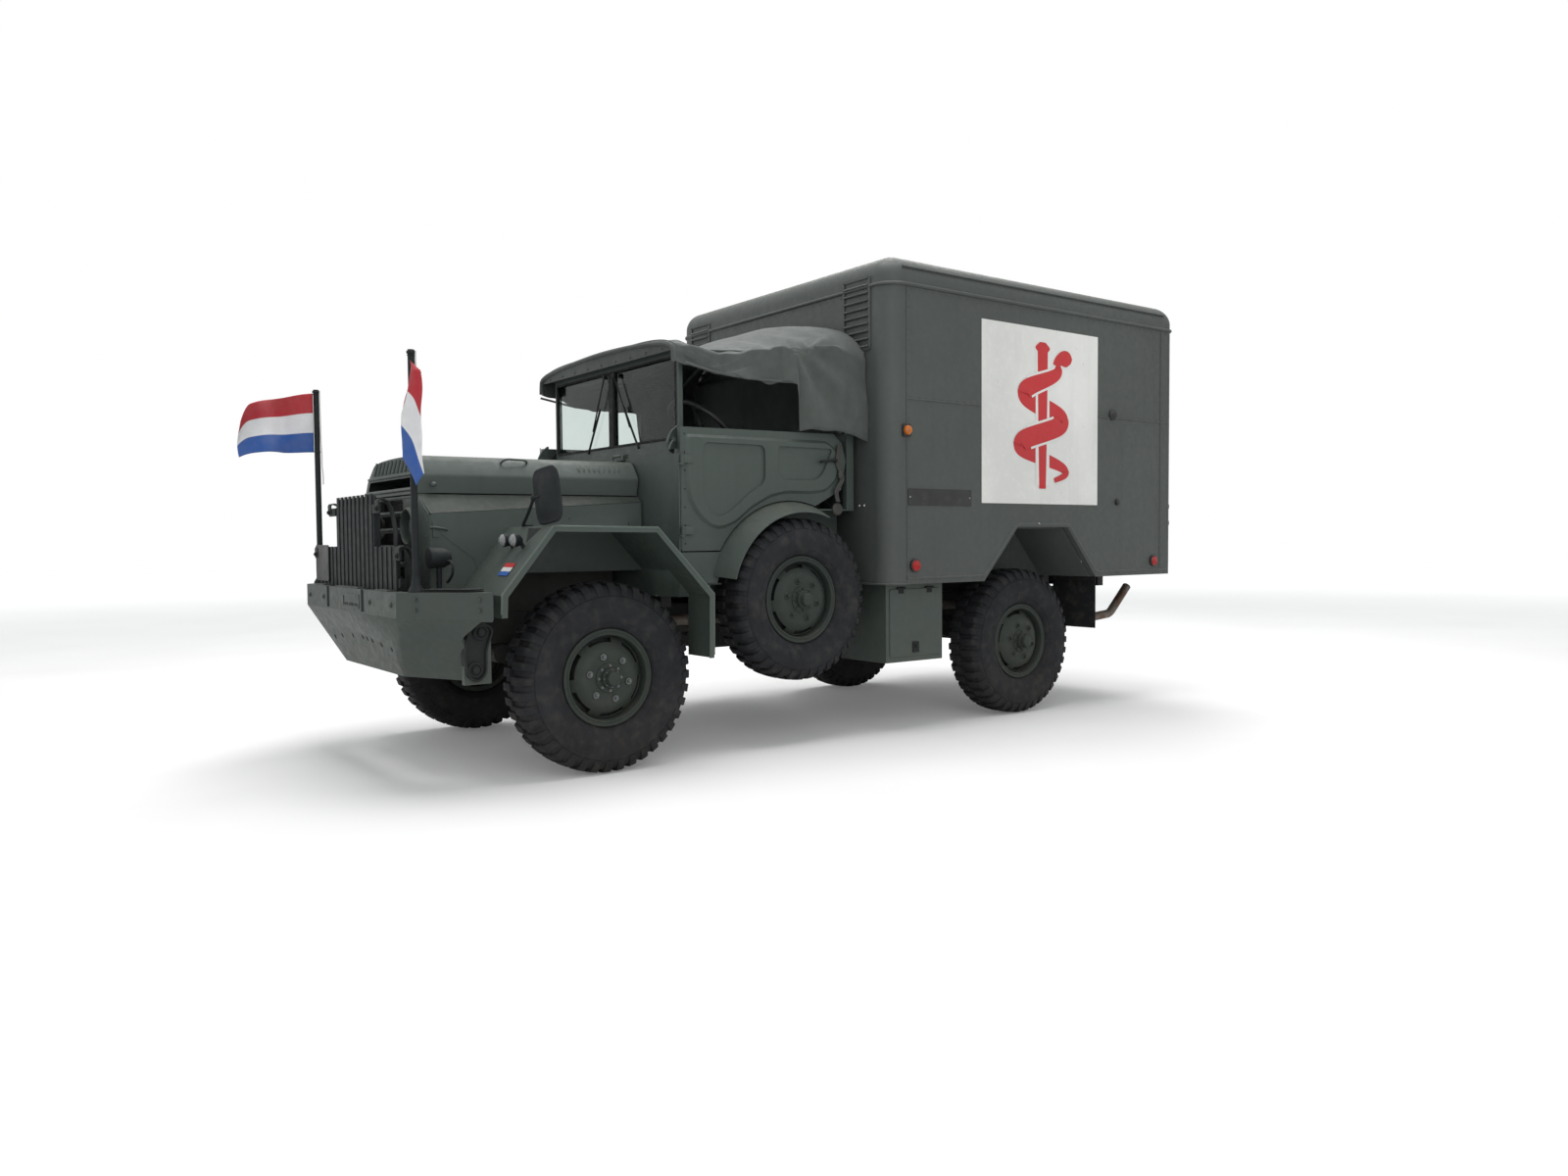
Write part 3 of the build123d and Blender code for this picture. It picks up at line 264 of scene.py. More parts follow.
def thread_relief(mix, pitch, under=None):
    """The bump of a plain weave over a sheet whose UV map is in metres."""
    waves = []
    for axis in (0, 1):
        along = mix.sum("MULTIPLY", mix.part(mix.place.outputs["UV"], axis), pi / pitch)
        waves.append(mix.sum("ABSOLUTE", mix.sum("SINE", along)))
    return mix.relief(mix.sum("MAXIMUM", *waves), 0.0006, 0.6, under)


def make_canvas(name, colour):
    """Waterproofed cotton: faded on its folds, stained at its hems, with a weave."""
    mix = Recipe(name)
    tone = mix.mottled(colour, 2.3, 5, 0.34, 0.68, 0.84, 1.14)
    tone = mix.over(tone, lifted(colour, 1.45), 13, 5, 0.48, 0.72, 0.3)
    damp = mix.between(mix.cloud(3.1, 5, (4, 4, 0.5)), 0.54, 0.76, 0, 0.4)
    tone = mix.blend(damp, tone, lifted(colour, 0.5))
    folds = mix.relief(mix.cloud(9, 4, (1, 1, 0.55)), 0.01, 0.5)
    mix.set(Base_Color=tone, Roughness=mix.patchy(20, 4, 0.78, 0.95), Normal=thread_relief(mix, 0.0016, folds))
    mix.shader.inputs["Sheen Weight"].default_value = 0.12
    return mix


def make_flag_cloth(name):
    """Three bands, red, white and blue, across the hoist that the UV map measures, a little faded."""
    mix = Recipe(name)
    hoist = mix.part(mix.place.outputs["UV"], 1)
    third = 0.31 / 3
    top = mix.between(hoist, 2 * third - 0.0015, 2 * third + 0.0015)
    low = mix.between(hoist, third - 0.0015, third + 0.0015)
    tone = mix.blend(low, opaque(38, 84, 158), opaque(226, 226, 228))
    tone = mix.blend(top, tone, opaque(176, 36, 48))
    tone = mix.over(tone, DUST, 14, 5, 0.4, 0.75, 0.16)
    mix.set(Base_Color=tone, Roughness=mix.patchy(30, 3, 0.62, 0.8), Normal=thread_relief(mix, 0.0012))
    mix.shader.inputs["Sheen Weight"].default_value = 0.2
    return mix


def make_glass(name, tint, rough, clear, ior=1.45):
    """Window or lens glass with a film of dust."""
    mix = Recipe(name)
    film = mix.between(mix.cloud(6, 5), 0.35, 0.75, 0.0, 0.4)
    mix.set(Base_Color=mix.blend(film, lifted(tint, 1), lifted(tint, 0.86)), Roughness=mix.between(mix.cloud(17, 5),
        0.4, 0.75, rough, rough + 0.02))
    mix.shader.inputs["Transmission Weight"].default_value = clear
    mix.shader.inputs["IOR"].default_value = ior
    return mix


class TRUCK_OT_finishes(bpy.types.Operator):
    """Make the materials that the truck's pieces wear"""

    bl_idname = "truck.finishes"
    bl_label = "Finishes"

    def execute(self, context):
        colours = context.scene.truck_colours
        body, box, canvas = colours.body, colours.box, colours.canvas
        painted("Body paint", body)
        painted("Wheel paint", lifted(body, 0.55), 0.6, 0.6, 1.0, 0.3)
        painted("Box paint", box, 0.56)
        painted("Chassis paint", shade(38, 41, 40), 0.66, 1.0, 1.0, 0.3)
        painted("Guard black", shade(31, 35, 36), 0.6, 0.3, 0.8, 0.2)
        # Edge highlight paint: the body colour made lighter, a painted highlight along the mudguards' rolled edges.
        painted("Edge highlight paint", lifted(body, 1.4), 0.36, 0.2, 0.6)
        painted("Bumper paint", lifted(body, 0.8), 0.55, 0.8, 1.4)
        painted("White paint", colours.panel, 0.5, 0.5, 0.5)
        painted("Red paint", colours.sign, 0.5, 0.4, 0.4)
        painted("Blue paint", shade(44, 92, 170), 0.45, 0.3, 0.2)
        painted("Engine iron", shade(56, 58, 54), 0.6, 2.0, 1.5)
        rubber("Tyre rubber", shade(37, 38, 41), 0.28)
        rubber("Flap rubber", shade(33, 34, 36), 0.4)
        metal("Pipe steel", shade(112, 104, 96), 0.5, 0.75, 0.6)
        metal("Bright steel", shade(176, 176, 172), 0.28, 0.12, 0.9)
        metal("Nut steel", shade(112, 116, 116), 0.42, 0.15, 0.6)
        metal("Mirror glass", shade(205, 212, 216), 0.05, 0.0, 1.0)
        coated("Seat cloth", shade(62, 66, 54), 0.5, 420, 0.0006)
        coated("Strap leather", shade(58, 58, 54), 0.6, 520, 0.0005)
        coated("Black plastic", shade(26, 27, 28), 0.42, 640, 0.0003)
        make_canvas("Canvas", canvas)
        make_flag_cloth("Flag cloth")
        make_glass("Glass", shade(206, 218, 214), 0.0, 1.0, 1.2)
        make_glass("Lamp glass", shade(228, 232, 232), 0.12, 0.7)
        make_glass("Amber lens", shade(224, 122, 30), 0.15, 0.35)
        make_glass("Red lens", shade(190, 26, 24), 0.15, 0.3)
        for name, finish in NODE_FINISHES.items():
            dress(name, finish)
        return {"FINISHED"}


NODE_FINISHES = {
    "engine_block": "Engine iron", "windscreen_glass": "Glass", "spare_carrier": "Chassis paint",
}


def dress(name, finish):
    """Gives a CAD node its finish."""
    materials = nodes[name].data.materials
    materials.clear()
    materials.append(bpy.data.materials[finish])


# Shapes that pieces are made of

def box_in(bm, low, high):
    """A block between two corners."""
    made = bmesh.ops.create_cube(bm, size=1)["verts"]
    bmesh.ops.scale(bm, vec=[abs(b - a) for a, b in zip(low, high)], verts=made)
    bmesh.ops.translate(bm, vec=[(a + b) / 2 for a, b in zip(low, high)], verts=made)
    return made


def aim(start, direction):
    """The placing that stands a shape's own Z along a direction."""
    return Matrix.Translation(start) @ Vector(direction).to_track_quat("Z", "Y").to_matrix().to_4x4()


def rod_in(bm, start, end, radius, top=None, sides=16):
    """A round bar, or a cone if its top differs."""
    start, end = Vector(start), Vector(end)
    top = radius if top is None else top
    return bmesh.ops.create_cone(bm, cap_ends=True, segments=sides, radius1=radius, radius2=top,
        depth=(end - start).length, matrix=aim((start + end) / 2, end - start))["verts"]


def ball_in(bm, centre, radius, stretch=(1, 1, 1), rings=8):
    """A ball, or an egg if it is stretched."""
    placed = Matrix.Translation(centre) @ Matrix.Diagonal((*stretch, 1))
    return bmesh.ops.create_uvsphere(bm, u_segments=2 * rings, v_segments=rings, radius=radius, matrix=placed)["verts"]


def block(a, b, c, d):
    """The corners of a rectangle from (a, b) to (c, d)."""
    return (a, b), (c, b), (c, d), (a, d)


def bolt_in(bm, seat, direction, radius=0.011, height=0.008, dome=0.0):
    """A hexagon head on a washer, facing away from its seat."""
    seat, direction = Vector(seat), Vector(direction).normalized()
    rod_in(bm, seat - direction * 0.001, seat + direction * 0.003, radius * 1.45, sides=16)
    rod_in(bm, seat + direction * 0.002, seat + direction * (0.003 + height), radius, radius * 0.92, sides=6)
    if dome:
        ball_in(bm, seat + direction * (0.002 + height), radius * 0.72, rings=5)


def rivets_in(bm, spots, direction, radius=0.005):
    """Round rivet heads."""
    direction = Vector(direction)
    for spot in spots:
        spot = Vector(spot)
        rod_in(bm, spot - direction * 0.001, spot + direction * radius * 0.45, radius, radius * 0.55, sides=8)


def spaced(start, end, count):
    """Points in a line, with both ends."""
    start, end = Vector(start), Vector(end)
    return [start.lerp(end, index / (count - 1)) for index in range(count)]


def append(bm, part):
    """Moves one mesh under construction into another."""
    mesh = mesh_of("part", part)
    bm.from_mesh(mesh)
    bpy.data.meshes.remove(mesh)


def face_out(bm):
    """Turns every face to point outwards."""
    bmesh.ops.recalc_face_normals(bm, faces=bm.faces[:])


def merge(bm, dist):
    """Merges corners that lie closer than a distance."""
    bmesh.ops.remove_doubles(bm, verts=bm.verts[:], dist=dist)


def thicken(bm, thickness):
    """Gives every face a wall."""
    bmesh.ops.solidify(bm, geom=bm.faces[:], thickness=thickness)


def rounded(bm, geom, affect, offset, segments):
    """Rounds edges, or the corners of flat faces."""
    bmesh.ops.bevel(bm, geom=geom, offset=offset, offset_type="OFFSET", segments=segments, profile=0.5, affect=affect,
        material=-1, clamp_overlap=True)


def flat_face(outline, axis, level, corner=0.0, steps=5):
    """One flat face from an outline, square to an axis, with its corners rounded."""
    part = bmesh.new()
    spots = []
    for point in outline:
        spot = list(point)
        spot.insert(axis, level)
        spots.append(part.verts.new(spot))
    part.faces.new(spots)
    if corner:
        rounded(part, part.verts[:], "VERTICES", corner, steps)
    return part


def verts_in(made):
    """The vertices among what an operation made."""
    return [v for v in made if isinstance(v, bmesh.types.BMVert)]


def drawn_out(part, shift):
    """Draws all the faces out by a shift, and returns what was made."""
    made = bmesh.ops.extrude_face_region(part, geom=part.faces[:])["geom"]
    bmesh.ops.translate(part, vec=shift, verts=verts_in(made))
    return made


def on_axis(axis, length):
    """A shift along one axis."""
    return Vector([length if index == axis else 0 for index in range(3)])


def plate_in(bm, outline, axis, level, depth, corner=0.0):
    """A plate from a flat outline, square to an axis, with its corners rounded."""
    part = flat_face(outline, axis, level, corner)
    drawn_out(part, on_axis(axis, depth))
    append(bm, part)


def frame_in(bm, outline, axis, level, depth, width, corner=0.0):
    """The border of a flat outline as a raised strip of even width."""
    part = flat_face(outline, axis, level, corner)
    inner = part.faces[:]
    bmesh.ops.inset_region(part, faces=inner, thickness=width, use_even_offset=True, use_boundary=True)
    bmesh.ops.delete(part, geom=inner, context="FACES_ONLY")
    drawn_out(part, on_axis(axis, depth))
    append(bm, part)


def spun_in(bm, profile, centre, axis=(1, 0, 0), steps=48, closed=False, turn=2 * pi):
    """A turned shape from (along the axis, radius) points."""
    part = bmesh.new()
    axis, centre = Vector(axis), Vector(centre)
    out = AXIS_X if abs(axis.z) > 0.9 else (AXIS_Z - axis * axis.z).normalized()
    line = [part.verts.new(centre + axis * along + out * radius) for along, radius in profile]
    edges = [part.edges.new(pair) for pair in zip(line, line[1:])]
    if closed:
        edges.append(part.edges.new((line[-1], line[0])))
    bmesh.ops.spin(part, geom=line + edges, cent=centre, axis=axis, dvec=(0, 0, 0), angle=turn, steps=steps,
        use_merge=turn == 2 * pi, use_normal_flip=False, use_duplicate=False)
    merge(part, 1e-5)
    face_out(part)
    append(bm, part)


def tube_in(bm, points, radius, sizes=None, smooth=True, closed=False, squeeze=None, ends=2):
    """A bent tube along points, or a ribbon where it is squeezed along an axis onto a level."""
    curve = bpy.data.curves.new("line", "CURVE")
    curve.dimensions = "3D"
    spline = curve.splines.new("NURBS" if smooth else "POLY")
    spline.points.add(len(points) - 1)
    for index, (spot, point) in enumerate(zip(spline.points, points)):
        spot.co = (*point, 1)
        spot.radius = sizes[index] if sizes else 1
    spline.use_cyclic_u = closed
    if smooth:
        spline.order_u = 3
        spline.use_endpoint_u = not closed
        spline.resolution_u = 6
    curve.bevel_depth = radius
    curve.bevel_resolution = ends
    curve.use_fill_caps = not closed
    holder = bpy.data.objects.new("line", curve)
    mesh = bpy.data.meshes.new_from_object(holder)
    if squeeze:
        axis, level, share = squeeze
        for vert in mesh.vertices:
            vert.co[axis] = level + (vert.co[axis] - level) * share
    bm.from_mesh(mesh)
    bpy.data.objects.remove(holder)
    bpy.data.meshes.remove(mesh)
    bpy.data.curves.remove(curve)


def strap_in(bm, route, start, width, thick):
    """A flat strap bent along (y, z) points, with its width along X."""
    part = bmesh.new()
    line = [part.verts.new((start, y, z)) for y, z in route]
    edges = [part.edges.new(pair) for pair in zip(line, line[1:])]
    made = bmesh.ops.extrude_edge_only(part, edges=edges)["geom"]
    bmesh.ops.translate(part, vec=AXIS_X * width, verts=verts_in(made))
    face_out(part)
    thicken(part, thick)
    append(bm, part)


def pressed_in(bm, outline, axis, level, depth, slope, corner, base=0.002):
    """A flat outline raised by a depth, with flanks that slope in by the slope's width."""
    part = flat_face(outline, axis, level, corner, 6)
    merge(part, 0.002)
    made = drawn_out(part, on_axis(axis, base if depth > 0 else -base))
    top = [f for f in made if isinstance(f, bmesh.types.BMFace)]
    face_out(part)
    bmesh.ops.inset_region(part, faces=top, thickness=slope, depth=abs(depth) - base, use_even_offset=True)
    merge(part, 0.0008)
    append(bm, part)


def turned_copies(bm, cent, axis, count):
    """Repeats all of a mesh round an axis."""
    bmesh.ops.spin(bm, geom=bm.verts[:] + bm.edges[:] + bm.faces[:], cent=cent, axis=axis, dvec=(0, 0, 0), angle=2 * pi
        * (count - 1) / count, steps=count - 1, use_merge=False, use_normal_flip=False, use_duplicate=True)


# Pieces

def linked(name, data):
    """An object in the scene."""
    made = bpy.data.objects.new(name, data)
    bpy.context.scene.collection.objects.link(made)
    return made


def mesh_of(name, bm):
    """A mesh from one under construction, which is freed."""
    mesh = bpy.data.meshes.new(name)
    bm.to_mesh(mesh)
    bm.free()
    return mesh


def walled(cloth, thick):
    """Gives a sheet its thickness."""
    wall = cloth.modifiers.new("Cloth wall", "SOLIDIFY")
    wall.thickness = thick
    wall.offset = 0


def piece(name, finish, bm, edge=0.0, angle=35, stands_for=(), outward=True, body="truck"):
    """Makes a mesh a piece that rides on a body, with its finish, eased edges and shading."""
    if outward:
        face_out(bm)
    mesh = mesh_of(name, bm)
    mesh.materials.append(bpy.data.materials[finish])
    mesh.shade_smooth()
    mesh.set_sharp_from_angle(angle=radians(angle))
    made = linked(name, mesh)
    if edge:
        ease = made.modifiers.new("Eased edges", "BEVEL")
        ease.width = edge
        ease.segments = 2
        ease.limit_method = "ANGLE"
        ease.angle_limit = radians(angle)
        ease.harden_normals = True
    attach(made, body)
    if stands_for:
        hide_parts(*stands_for)
    return made


def carved(bm, cutters):
    """Cuts one mesh out of another, and returns what is left."""
    holders = []
    for name, part in (("whole", bm), ("cut", cutters)):
        face_out(part)
        holders.append(linked(name, mesh_of(name, part)))
    whole, cut = holders
    carve = whole.modifiers.new("Carve", "BOOLEAN")
    carve.operation = "DIFFERENCE"
    carve.solver = "EXACT"
    carve.object = cut
    bpy.context.view_layer.update()
    left = bpy.data.meshes.new_from_object(whole.evaluated_get(bpy.context.evaluated_depsgraph_get()))
    made = bmesh.new()
    made.from_mesh(left)
    if len(made.faces) == 0:
        raise RuntimeError("a cut left nothing of its piece")
    for holder in holders:
        mesh = holder.data
        bpy.data.objects.remove(holder)
        bpy.data.meshes.remove(mesh)
    bpy.data.meshes.remove(left)
    return made


def copied(name):
    """A CAD node's mesh, merged, with its flat faces whole again."""
    bm = bmesh.new()
    bm.from_mesh(nodes[name].data)
    merge(bm, 1e-5)
    bmesh.ops.dissolve_limit(bm, angle_limit=radians(0.5), use_dissolve_boundaries=False, verts=bm.verts[:],
        edges=bm.edges[:], delimit=set())
    return bm


def eased(name, finish, edge=0.003, bm=None):
    """A CAD node's shape with eased edges, standing for the node."""
    return piece(name + "_shape", finish, bm or copied(name), edge, stands_for=(name,), body=nodes[name]["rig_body"])


# Wheels

BEAD_RADIUS, TREAD_RADIUS = 0.2295, 0.445
LUG_OUTLINE = ((0.009, 0.4446), (0.05, 0.4436), (0.087, 0.4396), (0.1, 0.4285), (0.1135, 0.406), (0.1195, 0.384),
    (0.1165, 0.381), (0.107, 0.402), (0.094, 0.417), (0.085, 0.424), (0.009, 0.428))
CARCASS = ((0.0785, 0.2085), (0.079, 0.2295), (0.088, 0.2345), (0.0985, 0.24), (0.1065, 0.252), (0.1125, 0.261),
    (0.1155, 0.264), (0.1155, 0.268), (0.122, 0.289), (0.1262, 0.312), (0.1265, 0.33), (0.1245, 0.352), (0.121, 0.372),
    (0.1205, 0.377), (0.1155, 0.381), (0.114, 0.386), (0.107, 0.4025), (0.094, 0.4175), (0.085, 0.4245),
    (0.045, 0.4295))


def wheel_places():
    """Each wheel's end, side, body, side name, middle and radius."""
    for end in ("front", "rear", "spare"):
        for side, name in SIDES:
            low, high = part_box(f"tyre_{end}_{name}")
            yield end, side, f"{end}_wheel_{name}", name, (low + high) / 2, (high.z - low.z) / 2


class TRUCK_OT_tyres(bpy.types.Operator):
    """Build the six tyres, each with a ribbed side wall and two staggered rows of lugs"""

    bl_idname = "truck.tyres"
    bl_label = "Tyres"

    def execute(self, context):
        sizes = context.scene.truck_sizes
        pitch = 2 * pi / sizes.lug_count
        for end, side, body, name, centre, radius in wheel_places():
            grow = (radius - BEAD_RADIUS) / (TREAD_RADIUS - BEAD_RADIUS)

            def fitted(point):
                """An (offset, radius) point drawn in for a smaller tyre."""
                across, out = point
                return across, BEAD_RADIUS + (out - BEAD_RADIUS) * grow if out > BEAD_RADIUS else out

            bm = bmesh.new()
            half = [fitted(p) for p in CARCASS]
            spun_in(bm, half + [(-across, out) for across, out in reversed(half)], centre, steps=96, closed=True)
            for hand in (1, -1):
                lug = bmesh.new()
                outline = [fitted(p) for p in LUG_OUTLINE]
                lug.faces.new([lug.verts.new(centre + Vector((hand * a, 0, r))) for a, r in outline])
                far = verts_in(drawn_out(lug, (0, 0, 0)))
                bmesh.ops.rotate(lug, cent=centre, matrix=Matrix.Rotation(pitch * sizes.lug_share, 3, "X"), verts=far)
                bmesh.ops.rotate(lug, cent=centre, verts=lug.verts[:], matrix=Matrix.Rotation(pitch / 2
                    if hand > 0 else 0, 3, "X"))
                rounded(lug, lug.edges[:], "EDGES", 0.0028, 1)
                turned_copies(lug, centre, AXIS_X, sizes.lug_count)
                append(bm, lug)
            piece(f"tyre_{end}_{name}_tread", "Tyre rubber", bm, angle=30, stands_for=(f"tyre_{end}_{name}",),
                body=body)
        return {"FINISHED"}


RIM = ((0.07, 0.2055), (0.0775, 0.207), (0.0795, 0.223), (0.083, 0.2272), (0.088, 0.2272), (0.091, 0.2235),
    (0.091, 0.217), (0.0868, 0.2135), (0.0868, 0.2085), (0.0905, 0.206), (0.0905, 0.2), (0.085, 0.1965),
    (0.04, 0.1955), (-0.04, 0.1955), (-0.085, 0.1965), (-0.09, 0.2), (-0.09, 0.2235), (-0.084, 0.2272),
    (-0.0795, 0.223), (-0.0775, 0.207), (-0.07, 0.2055))
DISC = ((0.04, 0.197), (0.0475, 0.189), (0.068, 0.165), (0.08, 0.151), (0.0905, 0.136), (0.0958, 0.121),
    (0.096, 0.104), (0.0945, 0.09), (0.0945, 0.07), (0.0945, 0.038))
DRUM = ((-0.016, 0.152), (-0.016, 0.162), (-0.01, 0.165), (0.06, 0.162), (0.06, 0.04), (0.05, 0.04), (0.05, 0.152))
HUB = ((-0.01, 0.0252), (-0.01, 0.046), (0.094, 0.046), (0.094, 0.068), (0.099, 0.069), (0.102, 0.066), (0.102, 0.047),
    (0.12, 0.046), (0.1225, 0.0435), (0.1225, 0.036), (0.143, 0.0345), (0.1495, 0.0315), (0.152, 0.026), (0.152, 0),
    (0.11, 0), (0.11, 0.0252))


class TRUCK_OT_wheels(bpy.types.Operator):
    """Build the six wheels: rim and lock ring, slotted disc, studs, hub and drum"""

    bl_idname = "truck.wheels"
    bl_label = "Wheels"

    def execute(self, context):
        for end, side, body, name, centre, radius in wheel_places():
            out = AXIS_X * side
            rim = bmesh.new()
            spun_in(rim, RIM, centre, out, steps=72, closed=True)
            disc = bmesh.new()
            spun_in(disc, DISC, centre, out, steps=72)
            open_faces = []
            for face in disc.faces:
                middle = face.calc_center_median() - centre
                around = Vector((middle.y, middle.z)).length
                turn = Vector((1, 0)).angle_signed(Vector((middle.y, middle.z))) % (pi / 3)
                if 0.168 < around < 0.186 and turn < radians(40):
                    open_faces.append(face)
            bmesh.ops.delete(disc, geom=open_faces, context="FACES")
            thicken(disc, 0.008)
            append(rim, disc)
            piece(f"wheel_{end}_{name}_rim", "Wheel paint", rim, 0.0012, stands_for=(f"wheel_{end}_{name}",), body=body)
            hub = bmesh.new()
            spun_in(hub, HUB, centre, out, steps=40, closed=True)
            if end != "spare":
                spun_in(hub, DRUM, centre, out, steps=48, closed=True)
            spun_in(hub, ((0.012, 0.03), (0.02, 0.16), (0.014, 0.195), (0.008, 0.195), (0.012, 0.158), (0.004, 0.03)),
                centre, out, steps=48, closed=True)
            studs = bmesh.new()
            for index in range(8):
                around = Matrix.Rotation(index * pi / 4, 3, "X")
                bolt_in(studs, centre + out * 0.102 + around @ Vector((0, 0, 0.0575)), out, 0.0048, 0.005)
                if end != "spare":
                    bolt_in(studs, centre + out * 0.1225 + around @ Vector((0, 0, 0.0398)), out, 0.0026, 0.003)
            for index in range(6):
                around = Matrix.Rotation(index * pi / 3 + 0.3, 3, "X")
                seat = centre + out * 0.0962 + around @ Vector((0, 0, 0.1025))
                rod_in(hub, seat - out * 0.003, seat + out * 0.004, 0.022, 0.017, sides=20)
                bolt_in(studs, seat + out * 0.002, out, 0.0105, 0.011, dome=1)
            piece(f"wheel_{end}_{name}_hub", "Wheel paint", hub, 0.001, body=body)
            piece(f"wheel_{end}_{name}_studs", "Nut steel" if end == "front" else "Wheel paint", studs, body=body)
        return {"FINISHED"}


# Front end

BONNET_HALF = 0.52
STRAPS = ((0.385, 0.03, ((-0.884, 1.22), (-0.886, 1.262), (-0.88, 1.273), (-0.862, 1.276), (-0.838, 1.266),
    (-0.822, 1.24), (-0.812, 1.19), (-0.808, 1.12), (-0.808, 1.02), (-0.83, 0.868))), (0.655, 0.012, ((-0.884, 1.0),
    (-0.886, 1.048), (-0.88, 1.06), (-0.862, 1.063), (-0.836, 1.053), (-0.818, 1.02), (-0.81, 0.97), (-0.815, 0.92),
    (-0.835, 0.868))))
SLOT_EDGES = ((-0.345, -0.297), (0.226, 0.274))


